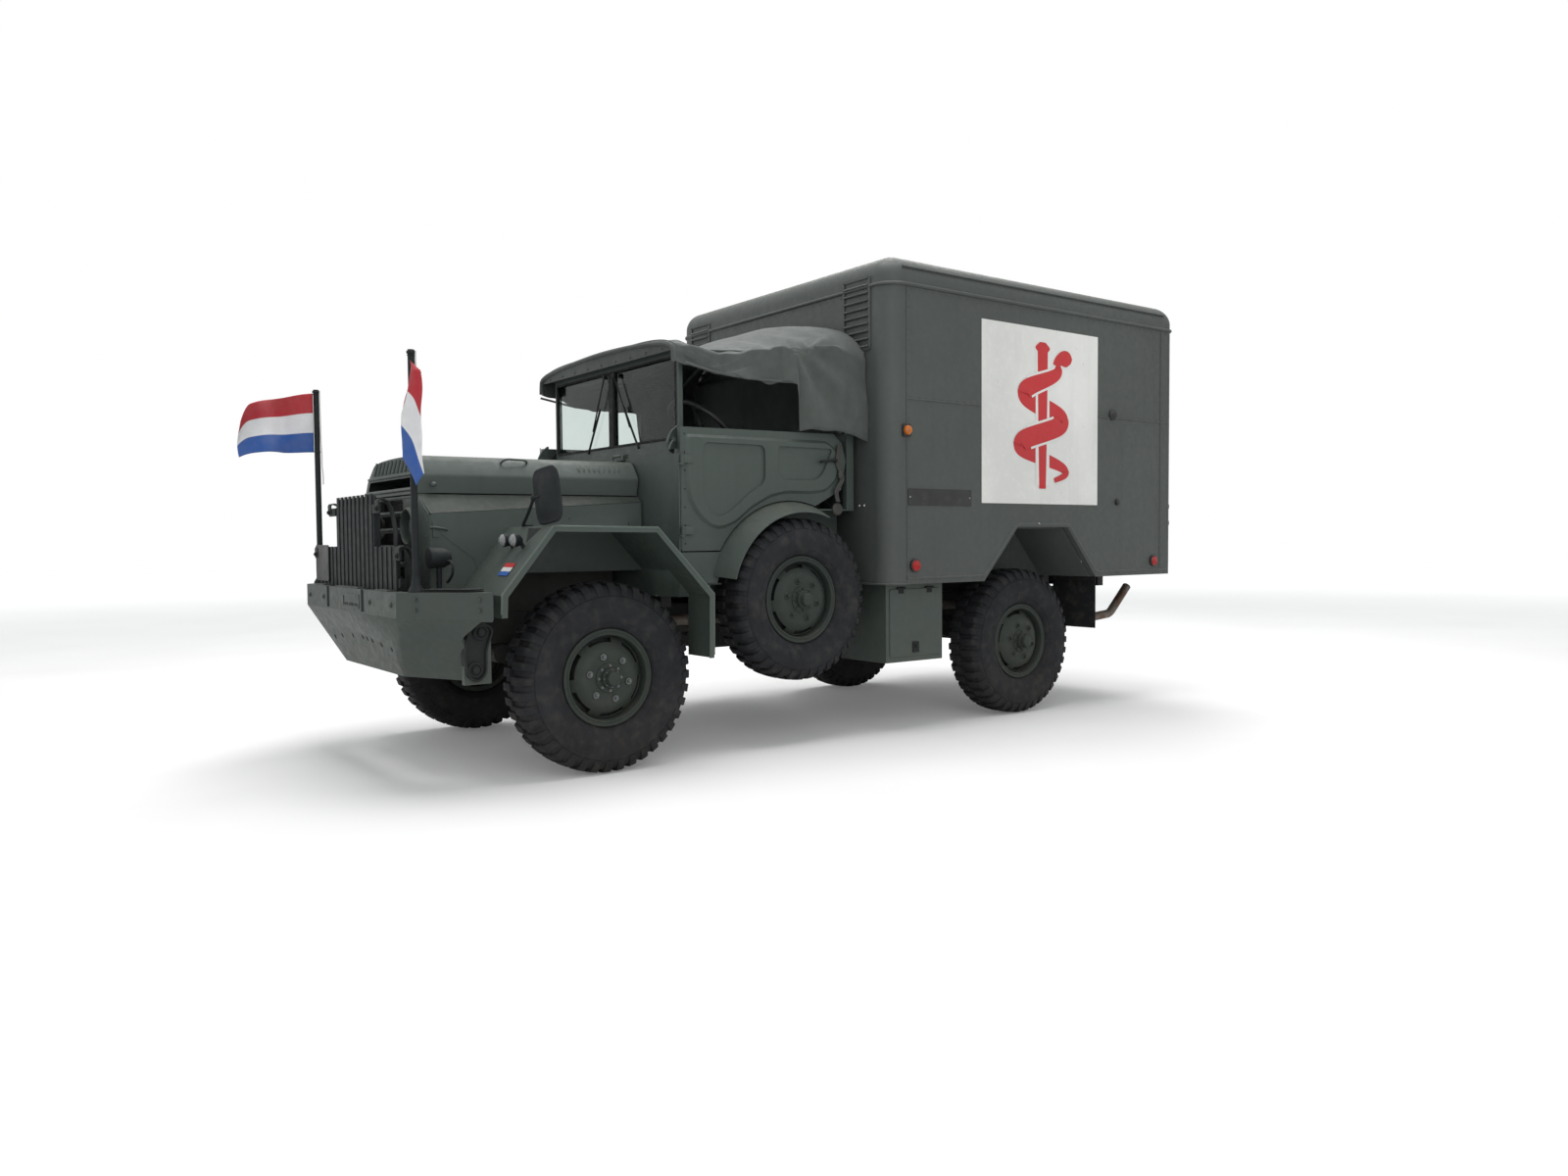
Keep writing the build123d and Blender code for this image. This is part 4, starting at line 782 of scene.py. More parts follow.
class TRUCK_OT_front_bumper(bpy.types.Operator):
    """Build the bumper with its slots, hatches, shackle plates and bolts, and the brush guard on it"""

    bl_idname = "truck.front_bumper"
    bl_label = "Bumper and guard"

    def execute(self, context):
        face_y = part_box("front_bumper")[0].y
        cuts = bmesh.new()
        for low, high in SLOT_EDGES:
            box_in(cuts, (low, face_y - 0.02, 0.762), (high, face_y + 0.03, 0.9))
        for low, high in ((-0.2, 0.15), (0.42, 0.58), (-0.58, -0.42)):
            box_in(cuts, (low, face_y + 0.012, 0.85), (high, face_y + 0.045, 0.88))
        for x, z in ((0.065, 0.632), (0.13, 0.628), (0.2, 0.623), (0.32, 0.613), (-0.1, 0.63), (-0.3, 0.615),
                (0.45, 0.6), (-0.45, 0.6)):
            rod_in(cuts, (x, face_y - 0.1, z), (x, face_y + 0.2, z), 0.0125)
        for side in HANDS:
            plate_in(cuts, behind(((-0.703, 0.43), (-0.6, 0.43), (-0.6, 0.742), (-0.655, 0.742), (-0.688, 0.68),
                (-0.703, 0.6))), 0, side * 0.8695, side * 0.25)
        eased("front_bumper", "Bumper paint", 0.004, carved(copied("front_bumper"), cuts))
        bm = bmesh.new()
        frame_in(bm, block(-0.06, 0.772, 0.2, 0.84), 1, face_y - 0.003, 0.006, 0.012, 0.01)
        for low, high in ((-0.205, 0.155), (0.415, 0.585), (-0.585, -0.415)):
            box_in(bm, (low, face_y + 0.006, 0.8655), (high, face_y + 0.05, 0.8705))
        for x in (-0.66, -0.4, 0.36, 0.66):
            bolt_in(bm, (x, face_y, 0.81), -AXIS_Y, 0.009, 0.006)
        wing = Vector((1.05 - 0.724, fa(-0.62) - face_y, 0)).normalized()
        for side in HANDS:
            outward = Vector((side * wing.y, -wing.x, 0))
            for z in (0.79, 0.835):
                for share in (0.2, 0.86):
                    spot = Vector((0.724, face_y, z)).lerp(Vector((1.05, fa(-0.62), z)), share)
                    bolt_in(bm, (side * spot.x, spot.y, z), outward, 0.008, 0.005)
        piece("front_bumper_fittings", "Bumper paint", bm, 0.001)
        bm = bmesh.new()
        for side in HANDS:
            x = side * 0.868
            outline = behind(((-0.672, 0.5), (-0.626, 0.47), (-0.584, 0.51), (-0.584, 0.61), (-0.551, 0.7),
                (-0.586, 0.728), (-0.642, 0.734), (-0.672, 0.68), (-0.686, 0.58)))
            plate_in(bm, outline, 0, x - side * 0.03, side * 0.038, 0.02)
            frame_in(bm, outline, 0, x + side * 0.006, side * 0.014, 0.009, 0.02)
            for y, z in ((-0.611, 0.69), (-0.638, 0.53)):
                spun_in(bm, ((0, 0), (0, 0.034), (0.012, 0.034), (0.016, 0.03), (0.016, 0.024), (0.01, 0.022),
                    (0.01, 0)), (x + side * 0.006, fa(y), z), AXIS_X * side, steps=28)
                bolt_in(bm, (x + side * 0.014, fa(y), z), AXIS_X * side, 0.018, 0.016)
        # Black plates set just inside the slots and under their tops: painted shade that darkens the hollow behind
        # them.
        slots = bmesh.new()
        for low, high in SLOT_EDGES:
            box_in(slots, (low, face_y + 0.007, 0.762), (high, face_y + 0.012, 0.868))
            box_in(slots, (low + 0.002, face_y + 0.004, 0.863), (high - 0.002, face_y + 0.05, 0.8665))
        piece("front_bumper_slot_shade", "Black plastic", slots)
        for low, high in ((-0.045, 0.02), (0.04, 0.105), (0.125, 0.19)):
            box_in(bm, (low, face_y - 0.002, 0.785), (high, face_y + 0.003, 0.797))
        piece("front_bumper_shackles", "Guard black", bm, 0.0018)
        eased("brush_guard", "Guard black", 0.0018)
        bars = bmesh.new()
        low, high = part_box("brush_guard")
        for index in range(-9, 9):
            x = (index + 0.5) * 0.066
            top = high.z - 0.045 if abs(x) < 0.3 else 1.055
            box_in(bars, (x - 0.005, low.y + 0.003, 0.868), (x + 0.005, low.y + 0.033, top))
        for z, half in ((0.905, 0.6), (1.035, 0.6), (1.15, 0.3), (1.235, 0.3)):
            box_in(bars, (-half, low.y + 0.024, z), (half, low.y + 0.03, z + 0.022))
        piece("brush_guard_bars", "Guard black", bars, 0.0008)
        bm = bmesh.new()
        for side in HANDS:
            for x, bulge, route in STRAPS:
                bent = bmesh.new()
                strap_in(bent, behind(route), side * x - 0.025, 0.05, 0.006)
                for vert in bent.verts:
                    fall = max(0.0, route[0][1] - vert.co.z) / 0.2
                    vert.co.x += side * bulge * (sin(min(fall, 1.6) * pi / 1.6 * 1.25) if fall else 0.0)
                append(bm, bent)
            box_in(bm, at(side, 0.3, -0.88, 1.21), at(side, 0.41, -0.874, 1.25))
            box_in(bm, at(side, 0.58, -0.88, 1.0), at(side, 0.68, -0.874, 1.04))
            for x, y, z in ((0.385, -0.887, 1.23), (0.655, -0.887, 1.02)):
                bolt_in(bm, at(side, x, y, z), -AXIS_Y, 0.009, 0.006)
            for z in (0.8655, 0.874):
                plate_in(bm, ((side * 0.79, fa(-0.83)), (side * 0.955, fa(-0.685)), (side * 0.955, fa(-0.62)),
                    (side * 0.9, fa(-0.62)), (side * 0.775, fa(-0.775))), 2, z, 0.005)
        piece("brush_guard_straps", "Guard black", bm, 0.0012)
        bm = bmesh.new()
        plate = block(-0.665, 0.885, -0.43, 1.068)
        plate_in(bm, plate, 1, fa(-0.882), 0.003, 0.012)
        frame_in(bm, plate, 1, fa(-0.882), -0.0015, 0.006, 0.012)
        piece("number_plate_blank", "Black plastic", bm, 0.0008)
        return {"FINISHED"}


def bonnet_half_at(y):
    """Half the bonnet's width: it narrows towards the nose."""
    share = (y - fa(0.375)) / (fa(-0.705) - fa(0.375))
    return BONNET_HALF - 0.125 * max(0.0, min(1.0, share))


def bonnet_face(front, z):
    """How far back the bonnet's leaning front stands at a height."""
    return front + 0.005 + 0.045 * (z - 1.304) / 0.188


class TRUCK_OT_nose(bpy.types.Operator):
    """Build the nose panel, its grille bars, the radiator behind it and the two headlamps"""

    bl_idname = "truck.nose"
    bl_label = "Nose and headlamps"

    def execute(self, context):
        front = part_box("grille_panel")[0].y
        bm = bmesh.new()
        outline = [(0.535, 0.745), (0.535, 1.205), (0.4, 1.292)]
        plate_in(bm, outline + [(-x, z) for x, z in reversed(outline)], 1, front, 0.006)
        cuts = bmesh.new()
        for low in (0.905, 0.985, 1.065, 1.146, 1.222):
            plate_in(cuts, block(-0.195, low, 0.195, low + 0.056), 1, front - 0.02, 0.05, 0.012)
        for side in HANDS:
            rod_in(cuts, (side * 0.3, front - 0.02, 1.15), (side * 0.3, front + 0.03, 1.15), 0.078, sides=40)
        panel = carved(bm, cuts)
        for low in (0.968, 1.048, 1.129, 1.208):
            rod_in(panel, (-0.205, front - 0.002, low + 0.008), (0.205, front - 0.002, low + 0.008), 0.0085, sides=12)
        box_in(panel, (-0.405, front - 0.004, 1.283), (0.405, front + 0.02, 1.294))
        rivets_in(panel, spaced((-0.5, front, 0.8), (-0.5, front, 1.18), 6) + spaced((0.5, front, 0.8), (0.5, front,
            1.18), 6), -AXIS_Y, 0.006)
        piece("grille_panel_shape", "Body paint", panel, 0.0015, stands_for=("grille_panel",))
        core = bmesh.new()
        box_in(core, (-0.22, front + 0.05, 0.86), (0.22, front + 0.1, 1.285))
        for index in range(56):
            x = -0.215 + index * 0.43 / 55
            box_in(core, (x - 0.0008, front + 0.042, 0.88), (x + 0.0008, front + 0.051, 1.27))
        piece("radiator_core", "Black plastic", core)
        bezel, pot, glass = bmesh.new(), bmesh.new(), bmesh.new()
        ring = ((-0.004, 0.094), (0.006, 0.0935), (0.016, 0.089), (0.024, 0.0835), (0.025, 0.08), (0.018, 0.0765),
            (0.004, 0.075), (-0.004, 0.076))
        for side in HANDS:
            centre = (side * 0.3, front, 1.15)
            spun_in(bezel, ring, centre, -AXIS_Y, steps=56, closed=True)
            spun_in(pot, ((-0.021, 0.0745), (-0.035, 0.068), (-0.055, 0.05), (-0.064, 0.02), (-0.065, 0)), centre,
                -AXIS_Y)
            spun_in(bezel, ((0.006, 0.0765), (-0.022, 0.0755), (-0.022, 0.0775), (0.006, 0.0785)), centre, -AXIS_Y,
                closed=True)
            spun_in(glass, ((-0.016, 0.0755), (-0.01, 0.06), (-0.0065, 0.03), (-0.0055, 0), (-0.0085, 0),
                (-0.0095, 0.03), (-0.013, 0.06), (-0.019, 0.0755)), centre, -AXIS_Y)
            bolt_in(bezel, (side * 0.3, front - 0.012, 1.06), -AXIS_Y, 0.006, 0.004)
        piece("headlamp_rings", "Body paint", bezel, stands_for=("headlamps",))
        piece("headlamp_pots", "Bright steel", pot)
        piece("headlamp_glasses", "Lamp glass", glass)
        return {"FINISHED"}


class TRUCK_OT_bonnet(bpy.types.Operator):
    """Build the bonnet as a tapering pressed skin with a slotted, ribbed front"""

    bl_idname = "truck.bonnet"
    bl_label = "Bonnet"

    def execute(self, context):
        front, far = (corner.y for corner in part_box("bonnet"))
        near, rear = far - 0.04, far - 0.015
        half = [(0, 1.4915), (0.16, 1.4905), (0.3, 1.4865), (0.4, 1.479), (0.44, 1.4735), (0.458, 1.467),
            (0.472, 1.452), (0.5145, 1.394), (0.5175, 1.386), (0.517, 1.379), (0.502, 1.318), (0.5, 1.304)]
        section = [(-x, z) for x, z in reversed(half[1:])] + half
        bm = bmesh.new()
        line = [bm.verts.new((x, rear, z)) for x, z in section]
        edges = [bm.edges.new(pair) for pair in zip(line, line[1:])]
        for station in (rear - 0.012, rear - 0.3, rear - 0.65, front + 0.1, front):
            made = bmesh.ops.extrude_edge_only(bm, edges=edges)["geom"]
            edges = [e for e in made if isinstance(e, bmesh.types.BMEdge)]
            for vert in verts_in(made):
                vert.co.y = station
        for vert in bm.verts:
            vert.co.x *= bonnet_half_at(vert.co.y) / BONNET_HALF
            if vert.co.y < front + 0.05:
                vert.co.y = bonnet_face(front, vert.co.z)
                vert.co.z -= 0.004
        bmesh.ops.contextual_create(bm, geom=edges)
        face_out(bm)
        thicken(bm, 0.0035)
        cuts = bmesh.new()
        plate_in(cuts, block(-0.35, 1.334, 0.35, 1.38), 1, front - 0.03, 0.09, 0.012)
        skin = carved(bm, cuts)
        for index in range(11):
            x = (index - 5) * 0.058
            spots = [(x, bonnet_face(front, z) - 0.002, z) for z in (1.412, 1.44, 1.476)]
            tube_in(skin, spots, 0.008, smooth=False, ends=1)
        for z in (1.396, 1.322):
            y = bonnet_face(front, z) - 0.002
            rod_in(skin, (-0.372, y, z), (0.372, y, z), 0.007, sides=10)
        for side in HANDS:
            for x in (0.26, 0.339):
                rod_in(skin, (side * x, far - 0.01, 1.515), (side * 0.3, far - 0.01, 1.515), 0.0098)
            box_in(skin, (side * 0.262, near, 1.484), (side * 0.338, far - 0.012, 1.492))
            box_in(skin, (side * 0.262, far - 0.016, 1.486), (side * 0.338, far - 0.009, 1.516))
            half_front = bonnet_half_at(fa(-0.63))
            rod_in(skin, at(side, half_front - 0.01, -0.638, 1.342), at(side, half_front + 0.018, -0.638, 1.342),
                0.0075)
            ball_in(skin, at(side, half_front + 0.02, -0.638, 1.342), 0.0125)
            grip = bonnet_half_at(fa(-0.24)) - 0.012
            tube_in(skin, [(side * (grip + dx), fa(y), z) for dx, y, z in ((-0.034, -0.305, 1.452), (-0.006, -0.3,
                1.47), (-0.004, -0.24, 1.468), (-0.006, -0.18, 1.466), (-0.034, -0.175, 1.45))], 0.0055)
            for index in range(9):
                y = fa(0.075 + index * 0.026)
                seat = Vector((side * 0.487 * bonnet_half_at(y) / BONNET_HALF, y, 1.43))
                made = ball_in(skin, seat, 0.012, (0.4, 0.62, 1.7), rings=6)
                bmesh.ops.rotate(skin, cent=seat, verts=made, matrix=Matrix.Rotation(-side * radians(36), 3, "Y"))
        piece("bonnet_skin", "Body paint", skin, 0.0012, stands_for=("bonnet",), body="bonnet")
        return {"FINISHED"}


class TRUCK_OT_mudguards(bpy.types.Operator):
    """Build the front mudguards with their ledges, lamps, catches, steps, mirrors and stickers"""

    bl_idname = "truck.mudguards"
    bl_label = "Mudguards and mirrors"

    def execute(self, context):
        lamps, lenses, faces = bmesh.new(), bmesh.new(), bmesh.new()
        for side, name in SIDES:
            cuts = bmesh.new()
            edge = behind(((-0.72, 1.203), (0.38, 1.27), (0.38, 1.32), (-0.72, 1.32)))
            plate_in(cuts, edge, 0, side * 0.5, side * 0.06)
            guard = carved(copied(f"front_fender_{name}"), cuts)
            part = bmesh.new()
            rows = []
            for share in (0, 0.25, 0.5, 0.75, 1):
                y = fa(-0.7) + (fa(0.372) - fa(-0.7)) * share
                inner = bonnet_half_at(y) - 0.004
                rows.append([part.verts.new((side * inner, y, 1.298)), part.verts.new((side * 0.5455, y, 1.206 + 0.066
                    * share))])
            for first, second in zip(rows, rows[1:]):
                part.faces.new((first[0], first[1], second[1], second[0]))
            thicken(part, 0.004)
            append(guard, part)
            wing = behind(((-0.703, 0.868), (-0.703, 1.2), (-0.3, 1.2), (-0.3, 0.96), (-0.53, 0.868)))
            plate_in(guard, wing, 0, side * 0.5392, side * 0.004)
            for low, high in ((-0.69, -0.66), (0.3, 0.33)):
                box_in(guard, at(side, 0.54, low, 1.1), at(side, 0.551, high, 1.17))
            for y in (-0.672, -0.66):
                rod_in(guard, at(side, 0.54, y, 1.14), at(side, 0.562, y, 1.14), 0.006)
            tube_in(guard, [at(side, 0.548, -0.7, 1.143), at(side, 0.562, -0.692, 1.146), at(side, 0.562, -0.64,
                1.137), at(side, 0.548, -0.625, 1.132)], 0.0055)
            rivets_in(guard, spaced(at(side, 0.5455, -0.45, 1.0), at(side, 0.5455, -0.02, 1.19), 2), AXIS_X * side,
                0.006)
            piece(f"front_fender_{name}_shape", "Body paint", guard, 0.003, stands_for=(f"front_fender_{name}",))
            for x, y, z in ((0.77, -0.447, 1.083), (0.885, -0.447, 1.083)):
                rod_in(lamps, at(side, x, y + 0.05, 1.03), at(side, x, y + 0.02, z), 0.009)
                spun_in(lamps, ((-0.032, 0), (-0.03, 0.012), (-0.016, 0.026), (0.006, 0.031), (0.01, 0.029)),
                    at(side, x, y, z), -AXIS_Y, steps=28)
                spun_in(lenses, ((0.009, 0.029), (0.018, 0.024), (0.026, 0.012), (0.028, 0)), at(side, x, y, z),
                    -AXIS_Y, steps=28)
            spun_in(lamps, ((-0.06, 0), (-0.058, 0.03), (-0.03, 0.044), (0.03, 0.046), (0.036, 0.044), (0.038, 0)),
                at(side, 0.615, -0.7, 1.008), -AXIS_Y, steps=32)
            rod_in(lamps, at(side, 0.615, -0.69, 0.86), at(side, 0.615, -0.69, 0.97), 0.012)
            tube_in(lamps, paired(side, ((0.66, -0.67, 0.99), (0.71, -0.67, 1.0), (0.735, -0.67, 0.965), (0.72, -0.67,
                0.925), (0.66, -0.67, 0.9))), 0.006)
            plate_in(lamps, ((0.815 * side, fa(0.482)), (0.935 * side, fa(0.482)), (0.935 * side, fa(0.6)),
                (0.815 * side, fa(0.6))), 2, 0.86, 0.006, 0.012)
            box_in(lamps, at(side, 0.8, 0.49, 0.852), at(side, 0.94, 0.5, 0.87))
            arm = ((0.69, -0.322, 1.149), (0.712, -0.334, 1.15), (0.735, -0.338, 1.163), (0.8, -0.342, 1.212),
                (0.872, -0.352, 1.268))
            tube_in(lamps, paired(side, arm), 0.0075)
            rod_in(lamps, at(side, 0.69, -0.3, 1.1462), at(side, 0.69, -0.3, 1.153), 0.024)
            ball_in(lamps, at(side, 0.872, -0.352, 1.268), 0.015)
            plate = bmesh.new()
            plate.faces.new([plate.verts.new((side * x, fa(y), 1.145 + (y + 0.335) * 1.214)) for x,
                y in ((0.79, -0.342), (0.93, -0.342), (0.875, -0.393))])
            face_out(plate)
            thicken(plate, 0.005)
            append(lamps, plate)
            middle = Vector(at(side, 0.965, -0.33, 1.278))
            turn = Matrix.Rotation(side * radians(12.7), 3, "Z") @ Matrix.Rotation(-side * radians(9), 3, "Y")
            shell, glass = bmesh.new(), bmesh.new()
            spun_in(shell, ((0.022, 0), (0.021, 0.03), (0.014, 0.06), (0.006, 0.074), (0.007, 0.079), (0.003, 0.083),
                (-0.004, 0.083), (-0.008, 0.08)), middle, -AXIS_Y, steps=64)
            spun_in(glass, ((-0.006, 0.0785), (-0.0085, 0.077), (-0.0095, 0)), middle, -AXIS_Y, steps=64)
            for half, whole in ((shell, lamps), (glass, faces)):
                for vert in half.verts:
                    away = vert.co - middle
                    reach = (abs(away.x) ** 5 + abs(away.z) ** 5) ** 0.2
                    if reach > 1e-5:
                        square = Vector((away.x, away.z)).length / reach
                        away.x, away.z = away.x * square * 1.06, away.z * square * 1.5
                    vert.co = middle + turn @ away
                append(whole, half)
            rod_in(lamps, middle + turn @ Vector((-side * 0.03, -0.018, 0)), Vector(at(side, 0.872, -0.352, 1.268)),
                0.007)
        piece("mudguard_fittings", "Guard black", lamps, stands_for=("mirrors",))
        # A rolled bead along each mudguard's outer edge, in paint lighter than the body as a painted highlight.
        edges = bmesh.new()
        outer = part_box("front_fender_left")[1].x - 0.003
        for side in HANDS:
            tube_in(edges, [at(side, outer, y, z) for y, z in ((-0.576, 0.77), (-0.572, 0.853), (-0.334, 1.142),
                (0.186, 1.136), (0.489, 0.822), (0.486, 0.53))], 0.0058, smooth=False)
        piece("mudguard_edges", "Edge highlight paint", edges)
        piece("side_lamp_lenses", "Lamp glass", lenses)
        piece("mirror_faces", "Mirror glass", faces)
        slope = Vector((0, 237, 295)).normalized()
        outward = Vector((0, -slope.z, slope.y))
        for band, finish in enumerate(("Red paint", "White paint", "Blue paint")):
            bm = bmesh.new()
            for side in HANDS:
                centre = Vector(at(side, 0.885, -0.488, 0.956)) + slope * (1 - band) * 0.022
                made = box_in(bm, (-0.05, -0.0115, -0.0006), (0.05, 0.0115, 0.0006))
                turn = Matrix((AXIS_X, slope, outward)).transposed()
                bmesh.ops.rotate(bm, cent=(0, 0, 0), matrix=turn, verts=made)
                bmesh.ops.translate(bm, vec=centre + outward * 0.0022, verts=made)
            piece("mudguard_sticker_" + finish.split()[0].lower(), finish, bm)
        return {"FINISHED"}


# Cab

DOOR_PANEL = ((0.475, 1.6), (1.375, 1.605), (1.435, 1.56), (1.468, 1.49), (1.43, 1.385), (1.36, 1.33), (1.26, 1.318),
    (1.09, 1.318), (0.99, 1.296), (0.87, 1.235), (0.78, 1.165), (0.69, 1.13), (0.62, 1.14), (0.55, 1.19), (0.5, 1.265),
    (0.478, 1.34))
DOOR_RECESS_FRONT = ((0.575, 1.562), (0.575, 1.29), (0.605, 1.22), (0.67, 1.19), (0.735, 1.215), (0.855, 1.31),
    (0.955, 1.372), (0.955, 1.562))
DOOR_RECESS_REAR = ((1.037, 1.562), (1.037, 1.415), (1.075, 1.387), (1.285, 1.391), (1.335, 1.425), (1.405, 1.562))


class TRUCK_OT_doors(bpy.types.Operator):
    """Build the half doors with their pressings, recesses, handles and check straps"""

    bl_idname = "truck.doors"
    bl_label = "Cab doors"

    def execute(self, context):
        for side, name in SIDES:
            bm = bmesh.new()
            outline = behind(DOOR_PANEL)
            pressed_in(bm, outline, 0, side * 0.798, side * 0.014, 0.016, 0.03)
            cuts = bmesh.new()
            for recess in (DOOR_RECESS_FRONT, DOOR_RECESS_REAR):
                plate_in(cuts, behind(recess), 0, side * 0.8005, side * 0.02, 0.035)
            raised = carved(bm, cuts)
            door = f"door_{name}"
            piece(door + "_pressing", "Body paint", raised, 0.003, angle=20, body=door)
            eased(door, "Body paint", 0.0025)
            bm = bmesh.new()
            rod_in(bm, at(side, 0.8, 1.415, 1.5), at(side, 0.828, 1.415, 1.5), 0.011)
            tube_in(bm, paired(side, ((0.825, 1.415, 1.503), (0.829, 1.39, 1.5), (0.826, 1.35, 1.494), (0.824, 1.31,
                1.49))), 0.0075)
            box_in(bm, at(side, 0.79, 1.425, 1.47), at(side, 0.809, 1.447, 1.53))
            rivets_in(bm, spaced(at(side, 0.8, 0.475, 1.06), at(side, 0.8, 0.475, 1.6), 7), AXIS_X * side, 0.005)
            piece(door + "_handle", "Guard black", bm, 0.0008, body=door)
            strap = bmesh.new()
            for drift in (0.0, 0.012):
                tube_in(strap, [at(side, x, y + drift, z) for x, y, z in ((0.81, 1.445, 1.585), (0.822, 1.43, 1.53),
                    (0.819, 1.422, 1.49), (0.826, 1.447, 1.44), (0.822, 1.462, 1.4), (0.826, 1.43, 1.36), (0.82, 1.41,
                    1.325), (0.818, 1.43, 1.28))], 0.0085, squeeze=(0, side * 0.818, 0.6), ends=1)
            ball_in(strap, at(side, 0.822, 1.452, 1.425), 0.02, (0.55, 1, 1.3))
            spun_in(strap, ((0, 0.034), (0.008, 0.034), (0.013, 0.028), (0.014, 0)), at(side, 0.8, 1.44, 1.24), AXIS_X
                * side, steps=28)
            piece(door + "_strap", "Strap leather", strap, 0.0006, body=door)
        return {"FINISHED"}


